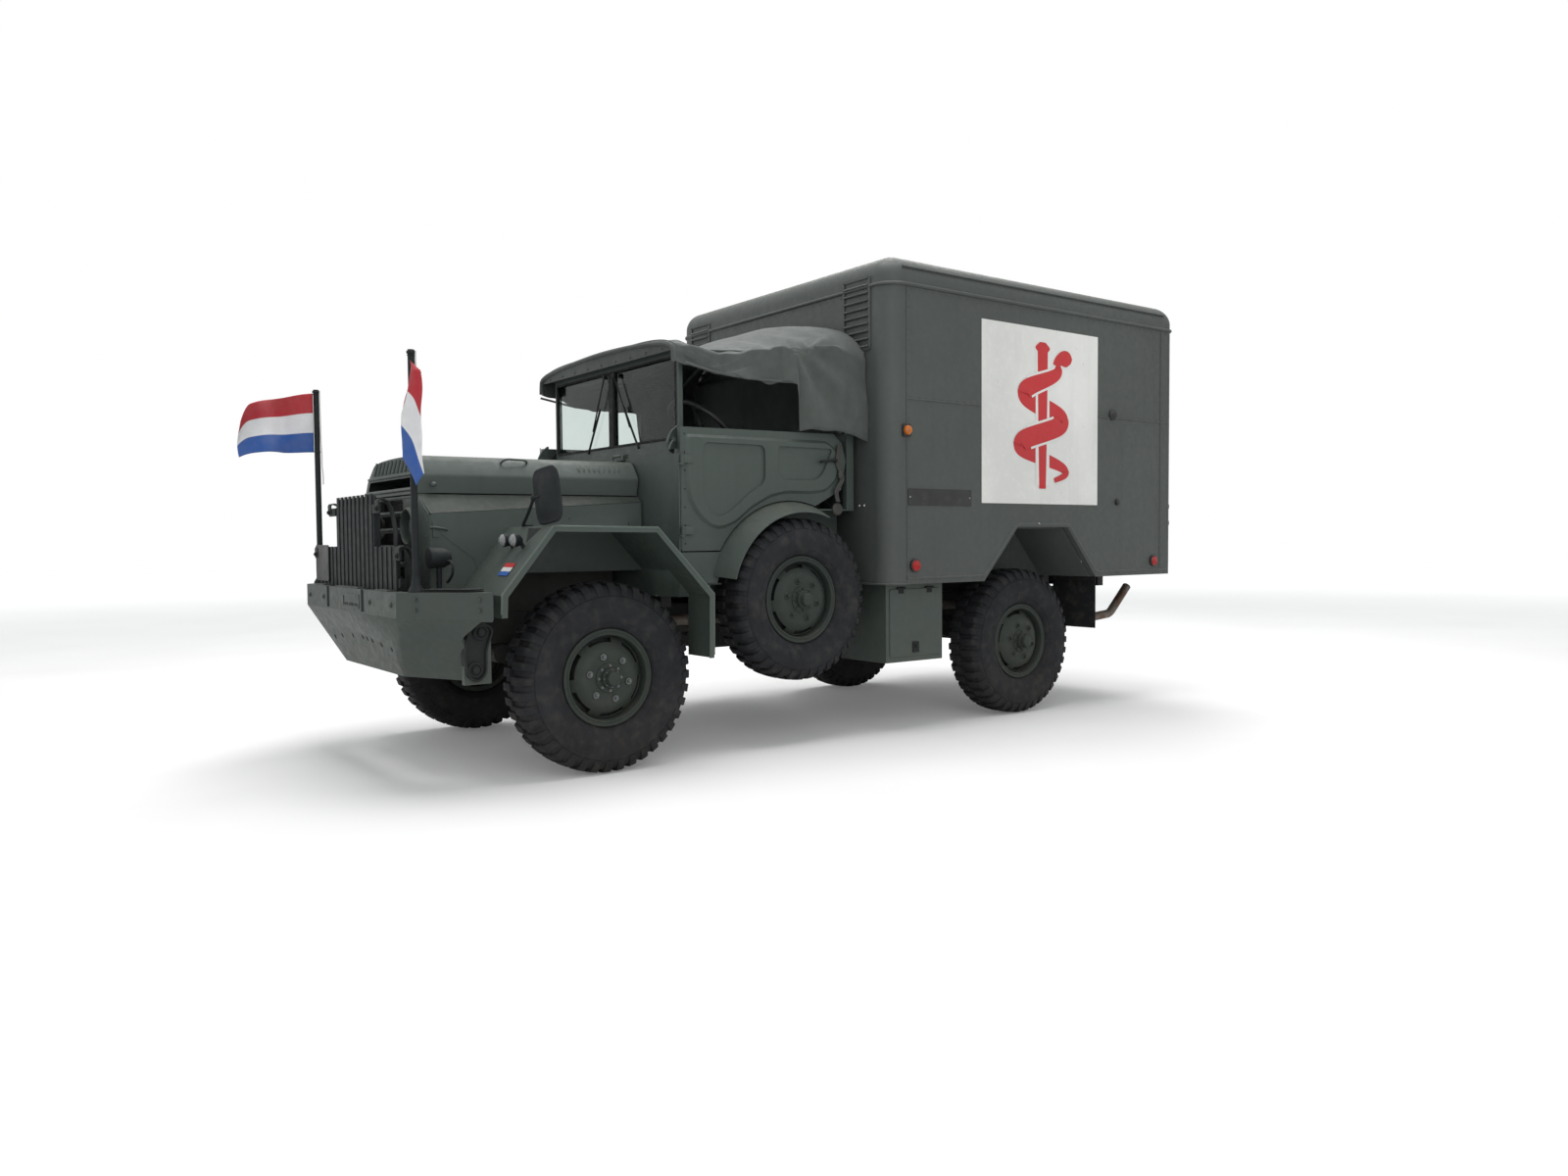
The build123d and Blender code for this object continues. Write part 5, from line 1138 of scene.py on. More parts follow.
class TRUCK_OT_cab(bpy.types.Operator):
    """Build the cab shell, its windscreen, wipers, dashboard, levers, pedals and steering wheel"""

    bl_idname = "truck.cab"
    bl_label = "Cab and windscreen"

    def execute(self, context):
        eased("cab_body", "Body paint", 0.0025)
        eased("windscreen_frame", "Body paint", 0.003)
        eased("seat_frames", "Chassis paint", 0.002)
        eased("canvas_hoops", "Body paint", 0.0)
        seal, wipers, hinges = bmesh.new(), bmesh.new(), bmesh.new()
        for side in HANDS:
            fold = behind(((0.476, 1.65), (0.43, 1.612), (0.408, 1.565), (0.415, 1.525), (0.476, 1.53)))
            plate_in(hinges, fold, 0, side * 0.735, side * 0.005, 0.01)
            frame_in(hinges, fold, 0, side * 0.74, side * 0.012, 0.004, 0.01)
            rod_in(hinges, at(side, 0.725, 0.44, 1.572), at(side, 0.765, 0.44, 1.572), 0.011)
            tube_in(hinges, [at(side, 0.76, 0.44, 1.572), at(side, 0.764, 0.42, 1.555), at(side, 0.766, 0.405, 1.52)],
                0.006)
        piece("windscreen_hinges", "Body paint", hinges, 0.001)
        screen_y = (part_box("windscreen_frame")[0].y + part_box("windscreen_frame")[1].y) / 2
        for low, high in ((-0.678, -0.015), (0.015, 0.678)):
            for y, depth in ((screen_y - 0.0125, -0.004), (screen_y + 0.0125, 0.004)):
                frame_in(seal, block(low, 1.585, high, 2.0), 1, y, depth, 0.011, 0.02)
        for y in (screen_y - 0.0165, screen_y + 0.0125):
            box_in(seal, (-0.0145, y, 1.585), (0.0145, y + 0.004, 2.0))
        for pivot, tip, far in (((-0.055, 1.975), (-0.2, 1.69), (-0.28, 1.62)), ((0.055, 1.975), (0.22, 1.68),
                (0.3, 1.61))):
            y = screen_y - 0.022
            rod_in(wipers, (pivot[0], y + 0.012, pivot[1]), (pivot[0], y - 0.01, pivot[1]), 0.012)
            rod_in(wipers, (pivot[0], y - 0.004, pivot[1]), (tip[0], y - 0.002, tip[1]), 0.0042)
            blade = Vector((far[0] - pivot[0], 0, far[1] - pivot[1])).normalized() * 0.14
            middle = Vector((tip[0], y + 0.006, tip[1]))
            rod_in(wipers, middle - blade, middle + blade, 0.006)
        box_in(wipers, (-0.09, screen_y + 0.013, 1.955), (0.09, screen_y + 0.07, 2.0))
        for side in HANDS:
            tube_in(wipers, paired(side, ((0.702, 0.53, 1.63), (0.715, 0.49, 1.575), (0.725, 0.445, 1.53),
                (0.728, 0.455, 1.507))), 0.0065)
            ball_in(wipers, at(side, 0.726, 0.447, 1.524), 0.014)
            rod_in(wipers, at(side, 0.7, 0.52, 1.56), at(side, 0.716, 0.52, 1.56), 0.02)
        piece("windscreen_seals", "Flap rubber", seal)
        piece("wipers_and_arms", "Guard black", wipers, 0.0008)
        trim = bmesh.new()
        for side in HANDS:
            rivets_in(trim, spaced(at(side, 0.8, 0.47, 0.9), at(side, 0.8, 0.68, 0.9), 5), AXIS_X * side, 0.005)
            box_in(trim, at(side, 0.799, 0.449, 1.03), at(side, 0.803, 0.453, 1.64))
            tube_in(trim, [at(side, 0.803, y, z) for y, z in ((1.5, 1.655), (1.53, 1.656), (1.555, 1.656))], 0.008)
            box_in(trim, at(side, 0.06, 0.5, 1.498), at(side, 0.6, 0.506, 1.503))
        for x in (-0.42, 0.42):
            box_in(trim, (x - 0.1, fa(0.43), 1.5), (x + 0.1, fa(0.47), 1.506))
        piece("cab_trim", "Body paint", trim, 0.001)
        dash, bezels = bmesh.new(), bmesh.new()
        rear = fa(0.52) + 0.08
        plate_in(dash, block(0.16, 1.345, 0.64, 1.485), 1, rear, 0.008, 0.03)
        for x, radius in ((0.23, 0.03), (0.31, 0.03), (0.4, 0.05), (0.49, 0.03), (0.57, 0.03)):
            spun_in(bezels, ((0.006, radius), (0.016, radius), (0.018, radius - 0.004), (0.01, radius - 0.006),
                (0.009, 0)), (x, rear, 1.42), AXIS_Y, steps=32)
            rod_in(bezels, (x, rear + 0.011, 1.42), (x + radius * 0.5, rear + 0.011, 1.42 + radius * 0.4), 0.0012)
        for index in range(7):
            x = 0.2 + index * 0.065
            rod_in(bezels, (x, rear + 0.005, 1.363), (x, rear + 0.022, 1.363), 0.007, 0.005)
        for side in (-1, 1):
            tube_in(dash, [(side * x, rear + 0.002 + dy, 1.47) for x, dy in ((0.68, 0), (0.68, 0.03), (0.72, 0.03))],
                0.006)
        tube_in(dash, [(x, rear + dy, 1.45) for x, dy in ((-0.6, -0.005), (-0.6, 0.045), (-0.2, 0.045),
            (-0.2, -0.005))], 0.009)
        floor = 0.808
        for x, y, lean, height in ((0.05, 0.95, 0.02, 0.5), (-0.03, 1.02, 0.03, 0.36), (0.12, 1.06, -0.02, 0.34)):
            tube_in(dash, [(x, fa(y), floor), (x + lean, fa(y + 0.03), floor + height * 0.6), (x + 2 * lean,
                fa(y - 0.02), floor + height)], 0.0085)
            ball_in(dash, (x + 2 * lean, fa(y - 0.02), floor + height), 0.024)
            spun_in(dash, ((0, 0.045), (0.012, 0.042), (0.04, 0.02), (0.06, 0.012)), (x, fa(y), floor), AXIS_Z,
                steps=24)
        for x in (0.29, 0.42, 0.55):
            tube_in(dash, [(x, fa(0.41), 1.06), (x, fa(0.5), 1.02), (x, fa(0.58), 0.93)], 0.008)
            box_in(dash, (x - 0.035, fa(0.565), 0.895), (x + 0.035, fa(0.585), 0.965))
        piece("cab_controls", "Black plastic", dash, 0.001)
        piece("cab_gauges", "Bright steel", bezels)
        wheel = copied("steering_wheel")
        low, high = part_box("steering_wheel")
        centre = (low + high) / 2
        axis = Vector((0, 0.666, 0.746))
        spun_in(wheel, ((0.012, 0), (0.012, 0.026), (0.006, 0.034), (-0.012, 0.036)), centre, axis, steps=32)
        piece("steering_wheel_shape", "Black plastic", wheel, stands_for=("steering_wheel",), body="steering_wheel")
        return {"FINISHED"}


def swollen(name, source, cap):
    """Swells a pad with a cloth simulation: held by its own skin, blown up a little, then smoothed."""
    pad = linked(name, source)
    remesh = pad.modifiers.new("Even mesh", "REMESH")
    remesh.mode = "VOXEL"
    remesh.voxel_size = 0.006
    graph = bpy.context.evaluated_depsgraph_get()
    even = bpy.data.meshes.new_from_object(pad.evaluated_get(graph))
    pad.modifiers.clear()
    pad.data = even
    rest = [v.co.copy() for v in even.vertices]
    cloth = pad.modifiers.new("Cloth", "CLOTH")
    cloth.settings.quality = 5
    cloth.settings.use_pressure = True
    cloth.settings.uniform_pressure_force = 4
    cloth.settings.effector_weights.gravity = 0
    cloth.point_cache.frame_start = 1
    cloth.point_cache.frame_end = 20
    for step in range(1, 21):
        bpy.context.scene.frame_set(step)
    graph = bpy.context.evaluated_depsgraph_get()
    blown = bpy.data.meshes.new_from_object(pad.evaluated_get(graph))
    for vert, start in zip(blown.vertices, rest):
        shift = vert.co - start
        if shift.length > cap:
            vert.co = start + shift.normalized() * cap
    pad.modifiers.clear()
    pad.data = blown
    bpy.context.scene.frame_set(1)
    return pad


class TRUCK_OT_seats(bpy.types.Operator):
    """Build the seat cushions and backs as swollen pads with sewn channels and piping"""

    bl_idname = "truck.seats"
    bl_label = "Seat pads"

    def execute(self, context):
        for node, flat_axis, part_name in (("seat_cushions", 2, "cushion"), ("seat_backs", 1, "back")):
            for side, name in SIDES:
                low, high = (corner.copy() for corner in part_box(node))
                middle_x = side * (high.x - 0.225)
                low.x, high.x = middle_x - 0.225, middle_x + 0.225
                bm = bmesh.new()
                bottom = Vector((0.009, 0.009, 0.002)) if flat_axis == 2 else Vector((0.009, 0.014, 0.009))
                top = Vector((0.009, 0.009, 0.014)) if flat_axis == 2 else Vector((0.009, 0.002, 0.009))
                box_in(bm, low + bottom, high - top)
                rounded(bm, bm.edges[:], "EDGES", 0.024, 4)
                pad = swollen(f"seat_{part_name}_{name}", mesh_of("pad", bm), 0.012)
                self.sew(pad, low, high, flat_axis)
                mesh = pad.data
                mesh.materials.clear()
                mesh.materials.append(bpy.data.materials["Seat cloth"])
                mesh.shade_smooth()
                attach(pad, "truck")
                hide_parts(node)
                inset, across = 0.012, 1 if flat_axis == 2 else 2
                corners = block(low.x + inset, low[across] + inset, high.x - inset, high[across] - inset)
                if flat_axis == 2:
                    loop = [Vector((a, b, high.z - 0.022)) for a, b in corners]
                else:
                    loop = [Vector((a, low.y + 0.022, b)) for a, b in corners]
                route = []
                for index, corner in enumerate(loop):
                    before, after = loop[index - 1], loop[(index + 1) % 4]
                    route += [corner + (before - corner).normalized() * 0.03, corner, corner
                        + (after - corner).normalized() * 0.03]
                piping = bmesh.new()
                tube_in(piping, route, 0.0045, closed=True)
                piece(f"seat_{part_name}_{name}_piping", "Strap leather", piping)
        return {"FINISHED"}

    def sew(self, pad, low, high, flat_axis):
        """Pulls in the sewn channels across a pad, and keeps it inside its CAD solid."""
        least = 0.0004
        for vert in pad.data.vertices:
            co = vert.co
            depth = 0.0
            for share in (0.2, 0.4, 0.6, 0.8):
                away = abs(co.x - (low.x + (high.x - low.x) * share))
                depth = max(depth, 0.009 * max(0.0, 1 - away / 0.014) ** 1.5)
            outer = co.z > high.z - 0.045 if flat_axis == 2 else co.y < low.y + 0.045
            if outer and depth:
                co[flat_axis] += -depth if flat_axis == 2 else depth
            for axis in range(3):
                co[axis] = min(max(co[axis], low[axis] + least), high[axis] - least)


def fold_noise(point, scale, seed):
    """Smooth folds between -1 and 1."""
    return noise.noise(Vector(point) * scale + Vector((seed, seed * 1.7, seed * 0.3)))


def sheet_grid(across, along, size):
    """A flat grid of 0 to 1 both ways, with a UV map in metres."""
    bm = bmesh.new()
    uv = bm.loops.layers.uv.new("UVMap")
    bmesh.ops.create_grid(bm, x_segments=across, y_segments=along, size=0.5, calc_uvs=True)
    for vert in bm.verts:
        vert.co += Vector((0.5, 0.5, 0))
    for face in bm.faces:
        for loop in face.loops:
            loop[uv].uv = (loop.vert.co.x * size[0], loop.vert.co.y * size[1])
    return bm


def profile_at(stations, y):
    """Values between the stations on either side of y, eased."""
    if y <= stations[0][0]:
        return stations[0][1:]
    for first, second in zip(stations, stations[1:]):
        if y <= second[0]:
            share = (y - first[0]) / (second[0] - first[0])
            return [a + (b - a) * share for a, b in zip(first[1:], second[1:])]
    return stations[-1][1:]


TOP_SHARE, SHEET_FRONT = 0.72, 0.452


def canvas_section(turn, half, shoulder, crown, low, foot, flat, bend):
    """A point on a canvas section: turn is -1 at the right hem, 0 at the crown and 1 at the left hem."""
    share, hand = abs(turn), 1 if turn >= 0 else -1
    if share < TOP_SHARE:
        out = sin(share / TOP_SHARE * pi / 2)
        return hand * half * out, shoulder + (crown - shoulder) * max(0.0, 1 - out ** flat) ** bend
    drop = (share - TOP_SHARE) / (1 - TOP_SHARE)
    return hand * (half + (foot - half) * drop), shoulder + (low - shoulder) * drop


class TRUCK_OT_canvas(bpy.types.Operator):
    """Build the cab's canvas: a sagging sheet with side flaps from the windscreen to the box, and a curtain"""

    bl_idname = "truck.canvas"
    bl_label = "Canvas"

    def execute(self, context):
        sag = context.scene.truck_sizes.canvas_sag
        rows = ((SHEET_FRONT, 0.756, 2.03, 2.094, 1.952, 0.758, 5, 0.6), (0.55, 0.776, 2.018, 2.102, 1.932, 0.784, 4,
            0.7), (0.7, 0.797, 2.0, 2.118, 1.9, 0.808, 2.6, 1), (0.84, 0.81, 2.026, 2.15, 1.894, 0.82, 2.2, 1),
            (1.0, 0.82, 2.056, 2.196, 1.893, 0.826, 2.2, 1), (1.15, 0.829, 2.072, 2.24, 1.897, 0.836, 2.3, 0.97),
            (1.162, 0.83, 2.073, 2.243, 1.654, 0.842, 2.3, 0.97), (1.25, 0.838, 2.084, 2.27, 1.654, 0.852, 2.5, 0.9),
            (1.34, 0.846, 2.098, 2.288, 1.654, 0.864, 2.8, 0.8), (1.42, 0.853, 2.085, 2.297, 1.652, 0.875, 3, 0.68),
            (1.5, 0.862, 2.05, 2.301, 1.634, 0.883, 3.2, 0.6), (1.593, 0.868, 2.02, 2.301, 1.604, 0.884, 3.4, 0.56))
        bm = sheet_grid(150, 120, (2.9, 1.2))
        for vert in bm.verts:
            turn = vert.co.x * 2 - 1
            y = profile_at(((0, SHEET_FRONT), (0.58, 1.15), (0.59, 1.162), (1, 1.593)), vert.co.y)[0]
            x, z = canvas_section(turn, *profile_at(rows, y))
            hand, share = (1 if turn > 0 else -1), min(1.0, (y - SHEET_FRONT) / 0.968)
            top = max(0.0, 1 - abs(turn) / 0.7)
            hem = max(0.0, (abs(turn) - TOP_SHARE) / (1 - TOP_SHARE))
            hang = sin(pi * share)
            pull = exp(-((y - 1.2) / 0.05) ** 2 - ((abs(turn) - 0.7) / 0.05) ** 2)
            z -= sag * hang * (0.35 + 0.65 * top) * (0.4 + 0.6 * top)
            z += (0.01 * fold_noise((turn * 1.5, y * 3.2, 0), 2.4, 3) * (1 + top) + 0.007 * sin((abs(turn) * 1.6 + y
                * 1.5) * 26) * min(1.0, abs(turn) * 1.3)) * hang ** 0.5
            front = min(1.0, (y - SHEET_FRONT) / 0.08)
            z += front * (1 - share) ** 2 * 0.006 * sin(abs(turn) * 34 + y * 9) * (1 - hem * 0.5) - 0.024 * pull
            past = (abs(turn) - TOP_SHARE) * 1.1
            away = Vector((y - 0.45, past)).length
            ray = atan2(past, y - 0.44)
            z += 0.011 * front * sin(ray * 10 + 1.2 + 2 * away) * exp(-((away - 0.17) / 0.14) ** 2)
            past = (abs(turn) - 0.66) * 1.2
            away = Vector((y - 1.22, past)).length
            ray = atan2(past, y - 1.22)
            z += 0.008 * sin(ray * 7 + 0.5) * exp(-((away - 0.15) / 0.1) ** 2)
            if y < 1.156:
                x += hand * hem * (0.012 * sin(y * 17 + 1) + 0.014 * fold_noise((y, turn, 0), 7, 5))
            else:
                ray = atan2(2.13 - z, y - 1.1)
                back = (y - 1.156) / 0.437
                x += hand * (0.012 * sin(ray * 12) * min(1.0, hem * 3) * (1 - 0.6 * back) + 0.008 * fold_noise((y, z,
                    turn), 5, 9))
                z += 0.006 * fold_noise((x, y, 0), 5, 4) * back
            vert.co = (x - hand * 0.014 * pull, fa(y), z)
        roof = piece("canvas_roof", "Canvas", bm, stands_for=("cab_canvas",), outward=False, angle=70)
        bm = sheet_grid(60, 24, (1.7, 0.62))
        for vert in bm.verts:
            across, up = vert.co.x * 2 - 1, vert.co.y
            z = 1.654 + 0.44 * up
            vert.co = (across * 0.86, fa(1.583) + 0.006 * fold_noise((across, up, 0), 5, 2), z)
        back = piece("canvas_back", "Canvas", bm, stands_for=("cab_canvas",), outward=False, angle=60)
        walled(roof, 0.0022)
        walled(back, 0.002)
        self.hems()
        return {"FINISHED"}

    def hems(self):
        """The rolled front edge with its header and studs, and the straps that hold the sheet down."""
        bm = bmesh.new()
        route = [(x, fa(0.449 - 0.004 * cos(x * 9)), z) for x, z in ((-0.757, 1.955), (-0.757, 2.0), (-0.745, 2.04),
            (-0.6, 2.066), (-0.3, 2.084), (0, 2.09), (0.3, 2.084), (0.6, 2.066), (0.745, 2.04), (0.757, 2.0),
            (0.757, 1.955))]
        tube_in(bm, route, 0.013)
        header = bmesh.new()
        outline = [(-0.75, 2.014), (0.75, 2.014), (0.75, 2.03), (0.6, 2.058), (0.3, 2.076), (0, 2.082), (-0.3, 2.076),
            (-0.6, 2.058), (-0.75, 2.03)]
        plate_in(header, outline, 1, fa(0.45), 0.006, 0.012)
        append(bm, header)
        for side in HANDS:
            line = [(side * (0.822 + 0.01 * sin(y * 17 + 1)), fa(y), z) for y, z in ((0.47, 1.942), (0.58, 1.921),
                (0.7, 1.902), (0.84, 1.895), (1.0, 1.894), (1.14, 1.898))]
            tube_in(bm, line, 0.007, squeeze=(0, side * 0.822, 0.7), ends=1)
        for index in range(9):
            x = (index - 4) * 0.16
            rod_in(bm, (x, fa(0.4495), 2.03), (x, fa(0.444), 2.03), 0.007, 0.005)
        return piece("canvas_hems", "Canvas", bm)


# Box body

WALL_X, SIGN_HALF, DOOR_SIGN_SHARE = 1.05, 0.522, 0.38


class TRUCK_OT_sign(bpy.types.Operator):
    """Build the white panels with a red staff and serpent, a traditional medical sign"""

    bl_idname = "truck.sign"
    bl_label = "Medical sign"

    def execute(self, context):
        tall = context.scene.truck_sizes.sign_height
        walls = [(AXIS_Y * side, AXIS_X * side, Vector((side * WALL_X, 1.343, 1.8)), 1.0) for side in HANDS]
        door = [(-AXIS_X, AXIS_Y, Vector((-0.475, 2.665, 1.36)), DOOR_SIGN_SHARE)]
        for label, body, places in (("sign", "truck", walls), ("door_sign", "rear_door_right", door)):
            panels, white, red = bmesh.new(), bmesh.new(), bmesh.new()
            for along, out, centre, size in places:
                half = SIGN_HALF * size
                part = bmesh.new()
                corners = [centre + along * a * half + AXIS_Z * b * half for a, b in block(-1, -1, 1, 1)]
                part.faces.new([part.verts.new(c - out * 0.001) for c in corners])
                drawn_out(part, out * 0.0024)
                append(panels, part)
                self.wind(red, white, along, out, centre, tall * size, size)
            for bm in (panels, white, red):
                merge(bm, 1e-6)
            piece(label + "_panels", "White paint", panels, 0.0004, body=body)
            piece(label + "_figures", "Red paint", red, angle=50, body=body)
            piece(label + "_outlines", "White paint", white, angle=50, body=body)
        return {"FINISHED"}

    def wind(self, red, white, along, out, centre, tall, size):
        """Draws the staff and the serpent that winds round it, in flat relief."""
        def ribbon(bm, points, sizes, level):
            part = bmesh.new()
            spots = [centre + along * a + AXIS_Z * (b * tall - tall / 2) for a, b in points]
            tube_in(part, spots, 1.0, sizes=sizes, ends=2)
            for vert in part.verts:
                height = (vert.co - centre).dot(out)
                vert.co += out * (level - height + height * 0.0006 / max(sizes))
            append(bm, part)

        wide = 0.047 * size
        steps = 72
        pieces = []
        for index in range(steps + 1):
            z = index / steps
            swing = sin(z * 2 * pi * 2.25 + 0.5) * (0.225 - 0.085 * z) * size
            forward = cos(z * 2 * pi * 2.25 + 0.5) > 0
            neck = 1 - 0.5 * max(0.0, (z - 0.75) / 0.25)
            pieces.append((swing, 0.06 + 0.8 * z, forward, wide * (0.3 + 0.95 * min(1.0, z * 3.2)) * neck))
        runs, current = [], [pieces[0]]
        for before, after in zip(pieces, pieces[1:]):
            if after[2] != before[2]:
                current.append(after)
                runs.append(current)
                current = [before]
            current.append(after)
        runs.append(current)
        for run in runs:
            front = run[len(run) // 2][2]
            points = [(a, b) for a, b, turned, w in run]
            sizes = [w for a, b, turned, w in run]
            inner = [(point, w) for point, w in zip(points, sizes) if abs(point[0]) < 0.135 * size]
            if front and len(inner) > 3:
                ribbon(white, [point for point, w in inner], [w + 0.014 * size for point, w in inner], 0.0042)
            ribbon(red, points, sizes, 0.0052 if front else 0.002)
        last = pieces[-1]
        head = [(last[0] + a * size, last[1] + b) for a, b in ((0, 0), (0.006, 0.022), (0.026, 0.043), (0.06, 0.056),
            (0.1, 0.057), (0.13, 0.049), (0.142, 0.042))]
        ribbon(red, head, [last[3], last[3], wide * 0.72, wide * 1.0, wide * 1.08, wide * 0.7, wide * 0.3], 0.0036)
        ribbon(white, [(0, 0.02), (0, 0.5), (0, 0.97)], [0.062 * size] * 3, 0.0028)
        ribbon(red, [(0, 0.0), (0, 0.5), (0, 0.96)], [0.03 * size, 0.042 * size, 0.046 * size], 0.0036)
        ribbon(red, [(0, 0.945), (0, 0.96), (0, 0.98), (0, 1.01)], [0.046 * size, 0.064 * size, 0.066 * size, 0.024
            * size], 0.0036)


class TRUCK_OT_box_shell(bpy.types.Operator):
    """Build the box body: walls, roof, gutters, seams, rivets, arch trims and the louvre"""

    bl_idname = "truck.box_shell"
    bl_label = "Box shell"

    def execute(self, context):
        for name in ("box_front", "box_side_left", "box_side_right", "box_roof", "box_rear_frame", "box_floor"):
            eased(name, "Box paint", 0.002)
        eased("stretcher_racks", "Bright steel", 0.003)
        front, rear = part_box("box_front")[0].y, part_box("box_roof")[1].y
        trim = bmesh.new()
        for level, size, out in ((2.441, 0.011, 1.052), (0.833, 0.007, 1.0505)):
            turns = [radians(angle) for angle in range(0, 91, 15)]
            left = [(out - 0.12 + 0.12 * sin(a), front + 0.12 - 0.12 * cos(a)) for a in turns]
            left_rear = [(out, rear - 0.06)] + [(out - 0.06 + 0.06 * cos(radians(a)), rear - 0.06 + 0.062
                * sin(radians(a))) for a in (30, 60, 90)]
            loop = [(-x, y, level) for x, y in reversed(left)] + [(x, y, level) for x, y in left]
            if level > 1:
                loop += [(x, y, level) for x, y in left_rear] + [(-x, y, level) for x, y in reversed(left_rear)]
            tube_in(trim, loop, size, smooth=False, closed=level > 1, ends=2 if level > 1 else 1)
        for side in HANDS:
            x = side * 1.0505
            arch = behind(((2.315, 0.862), (2.335, 0.862), (2.6, 1.148), (2.625, 1.155), (3.055, 1.155),
                (3.085, 1.148), (3.335, 0.868), (3.36, 0.862)))
            tube_in(trim, [(x, y, z) for y, z in arch], 0.011, squeeze=(0, x, 0.45), smooth=False)
            for low, high in ((1.72, 2.33), (3.345, 4.09)):
                tube_in(trim, [(x, fa(low), 0.862), (x, fa(high), 0.862)], 0.0075, squeeze=(0, x, 0.6), smooth=False)
            seams = ((x, front + 0.125, 1.83, 0.815, 1.83, 0.004), (x, 1.872, 1.83, rear - 0.065, 1.83, 0.004),
                (x, rear - 0.14, 0.87, rear - 0.14, 2.43, 0.004), (x, front + 0.125, 0.87, front + 0.125, 2.43, 0.003),
                (side * 1.046, front + 0.1, 2.535, rear - 0.1, 2.535, 0.005))
            for out, y, z, far_y, far_z, size in seams:
                tube_in(trim, [(out, y, z), (out, far_y, far_z)], size, smooth=False)
        piece("box_mouldings", "Box paint", trim, angle=50)
        heads = bmesh.new()
        for side in HANDS:
            x = side * WALL_X
            rows = (((front + 0.16, 2.415), (rear - 0.09, 2.415), 44), ((front + 0.145, 0.9), (front + 0.145, 2.38),
                26), ((rear - 0.12, 0.9), (rear - 0.12, 2.38), 26), ((rear - 0.16, 0.9), (rear - 0.16, 2.38), 26),
                ((front + 0.16, 0.842), (fa(2.3), 0.842), 10), ((fa(3.38), 0.842), (rear - 0.09, 0.842), 12),
                ((front + 0.16, 1.842), (0.8, 1.842), 10), ((1.89, 1.842), (rear - 0.19, 1.842), 9))
            for start, end, count in rows:
                rivets_in(heads, spaced((x, *start), (x, *end), count), AXIS_X * side, 0.0052)
        rivets_in(heads, spaced((-0.9, front, 2.415), (0.9, front, 2.415), 30), -AXIS_Y, 0.0052)
        rivets_in(heads, spaced((-0.9, rear, 2.425), (0.9, rear, 2.425), 30), AXIS_Y, 0.0052)
        piece("box_rivets", "Box paint", heads, angle=50)
        vents = bmesh.new()
        for side in HANDS:
            for index in range(9):
                z = 2.125 + index * 0.041
                slat = bmesh.new()
                made = box_in(slat, (side * 0.69, front - 0.016, z), (side * 0.89, front + 0.002, z + 0.007))
                bmesh.ops.rotate(slat, cent=(0, front, z), matrix=Matrix.Rotation(radians(38), 3, "X"), verts=made)
                append(vents, slat)
            frame_in(vents, block(side * 0.675, 2.1, side * 0.905, 2.5), 1, front - 0.008, 0.009, 0.016, 0.014)
        piece("box_vents", "Box paint", vents, 0.0008)
        knobs = bmesh.new()
        for side in HANDS:
            spun_in(knobs, ((-0.02, 0.05), (0.012, 0.046), (0.03, 0.03), (0.036, 0.012), (0.037, 0)), (side * 0.86,
                1.479, 2.592), AXIS_Z, steps=28)
        piece("box_roof_vents", "Box paint", knobs)
        return {"FINISHED"}


class TRUCK_OT_box_fittings(bpy.types.Operator):
    """Build the lamps, reflectors, blank plates, fillers and small fittings on the box walls"""

    bl_idname = "truck.box_fittings"
    bl_label = "Box fittings"

    def execute(self, context):
        dark, amber, red, bright = bmesh.new(), bmesh.new(), bmesh.new(), bmesh.new()
        for side in HANDS:
            x, out = side * WALL_X, AXIS_X * side
            plate_in(dark, block(0.245, 1.258, 0.735, 1.348), 0, x, side * 0.004, 0.006)
            rivets_in(bright, [(x + side * 0.004, y, 1.303) for y in (0.26, 0.72)], out, 0.005)
            plate_in(dark, block(0.205, 1.625, 0.265, 1.695), 0, x, side * 0.01, 0.012)
            spun_in(amber, ((0.008, 0.026), (0.022, 0.025), (0.032, 0.016), (0.036, 0)), (x, 0.235, 1.66), out,
                steps=28)
            for y, z in ((0.295, 0.93), (2.45, 0.92)):
                spun_in(dark, ((0, 0.036), (0.012, 0.036), (0.014, 0.033), (0.014, 0)), (x, y, z), out, steps=32)
                spun_in(red, ((0.01, 0.031), (0.018, 0.028), (0.021, 0)), (x, y, z), out, steps=32)
            spun_in(dark, ((0, 0.034), (0.008, 0.034), (0.012, 0.028), (0.03, 0.018), (0.034, 0.01), (0.034, 0)),
                (x, 2.015, 1.85), out, steps=28)
            spun_in(dark, ((0, 0.02), (0.012, 0.019), (0.016, 0.01), (0.016, 0)), (x, 2.065, 1.3), out, steps=20)
            rivets_in(bright, [(x, 1.315, 1.158)], out, 0.011)
        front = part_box("box_front")[0].y
        for x in (0.8, 0.84):
            rivets_in(bright, [(x, front, 1.26), (-x, front, 1.26)], -AXIS_Y, 0.009)
        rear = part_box("box_roof")[1].y
        for side in HANDS:
            for level, holder in ((1.17, red), (1.28, amber)):
                seat = (side * 0.985, rear - 0.026, level)
                spun_in(dark, ((0, 0.042), (0.026, 0.042), (0.03, 0.038), (0.03, 0)), seat, AXIS_Y, steps=32)
                spun_in(holder, ((0.028, 0.037), (0.036, 0.033), (0.04, 0)), seat, AXIS_Y, steps=32)
        piece("box_small_fittings", "Black plastic", dark, 0.0008)
        piece("box_amber_lamps", "Amber lens", amber)
        piece("box_red_reflectors", "Red lens", red)
        piece("box_bright_fittings", "Bright steel", bright)
        return {"FINISHED"}


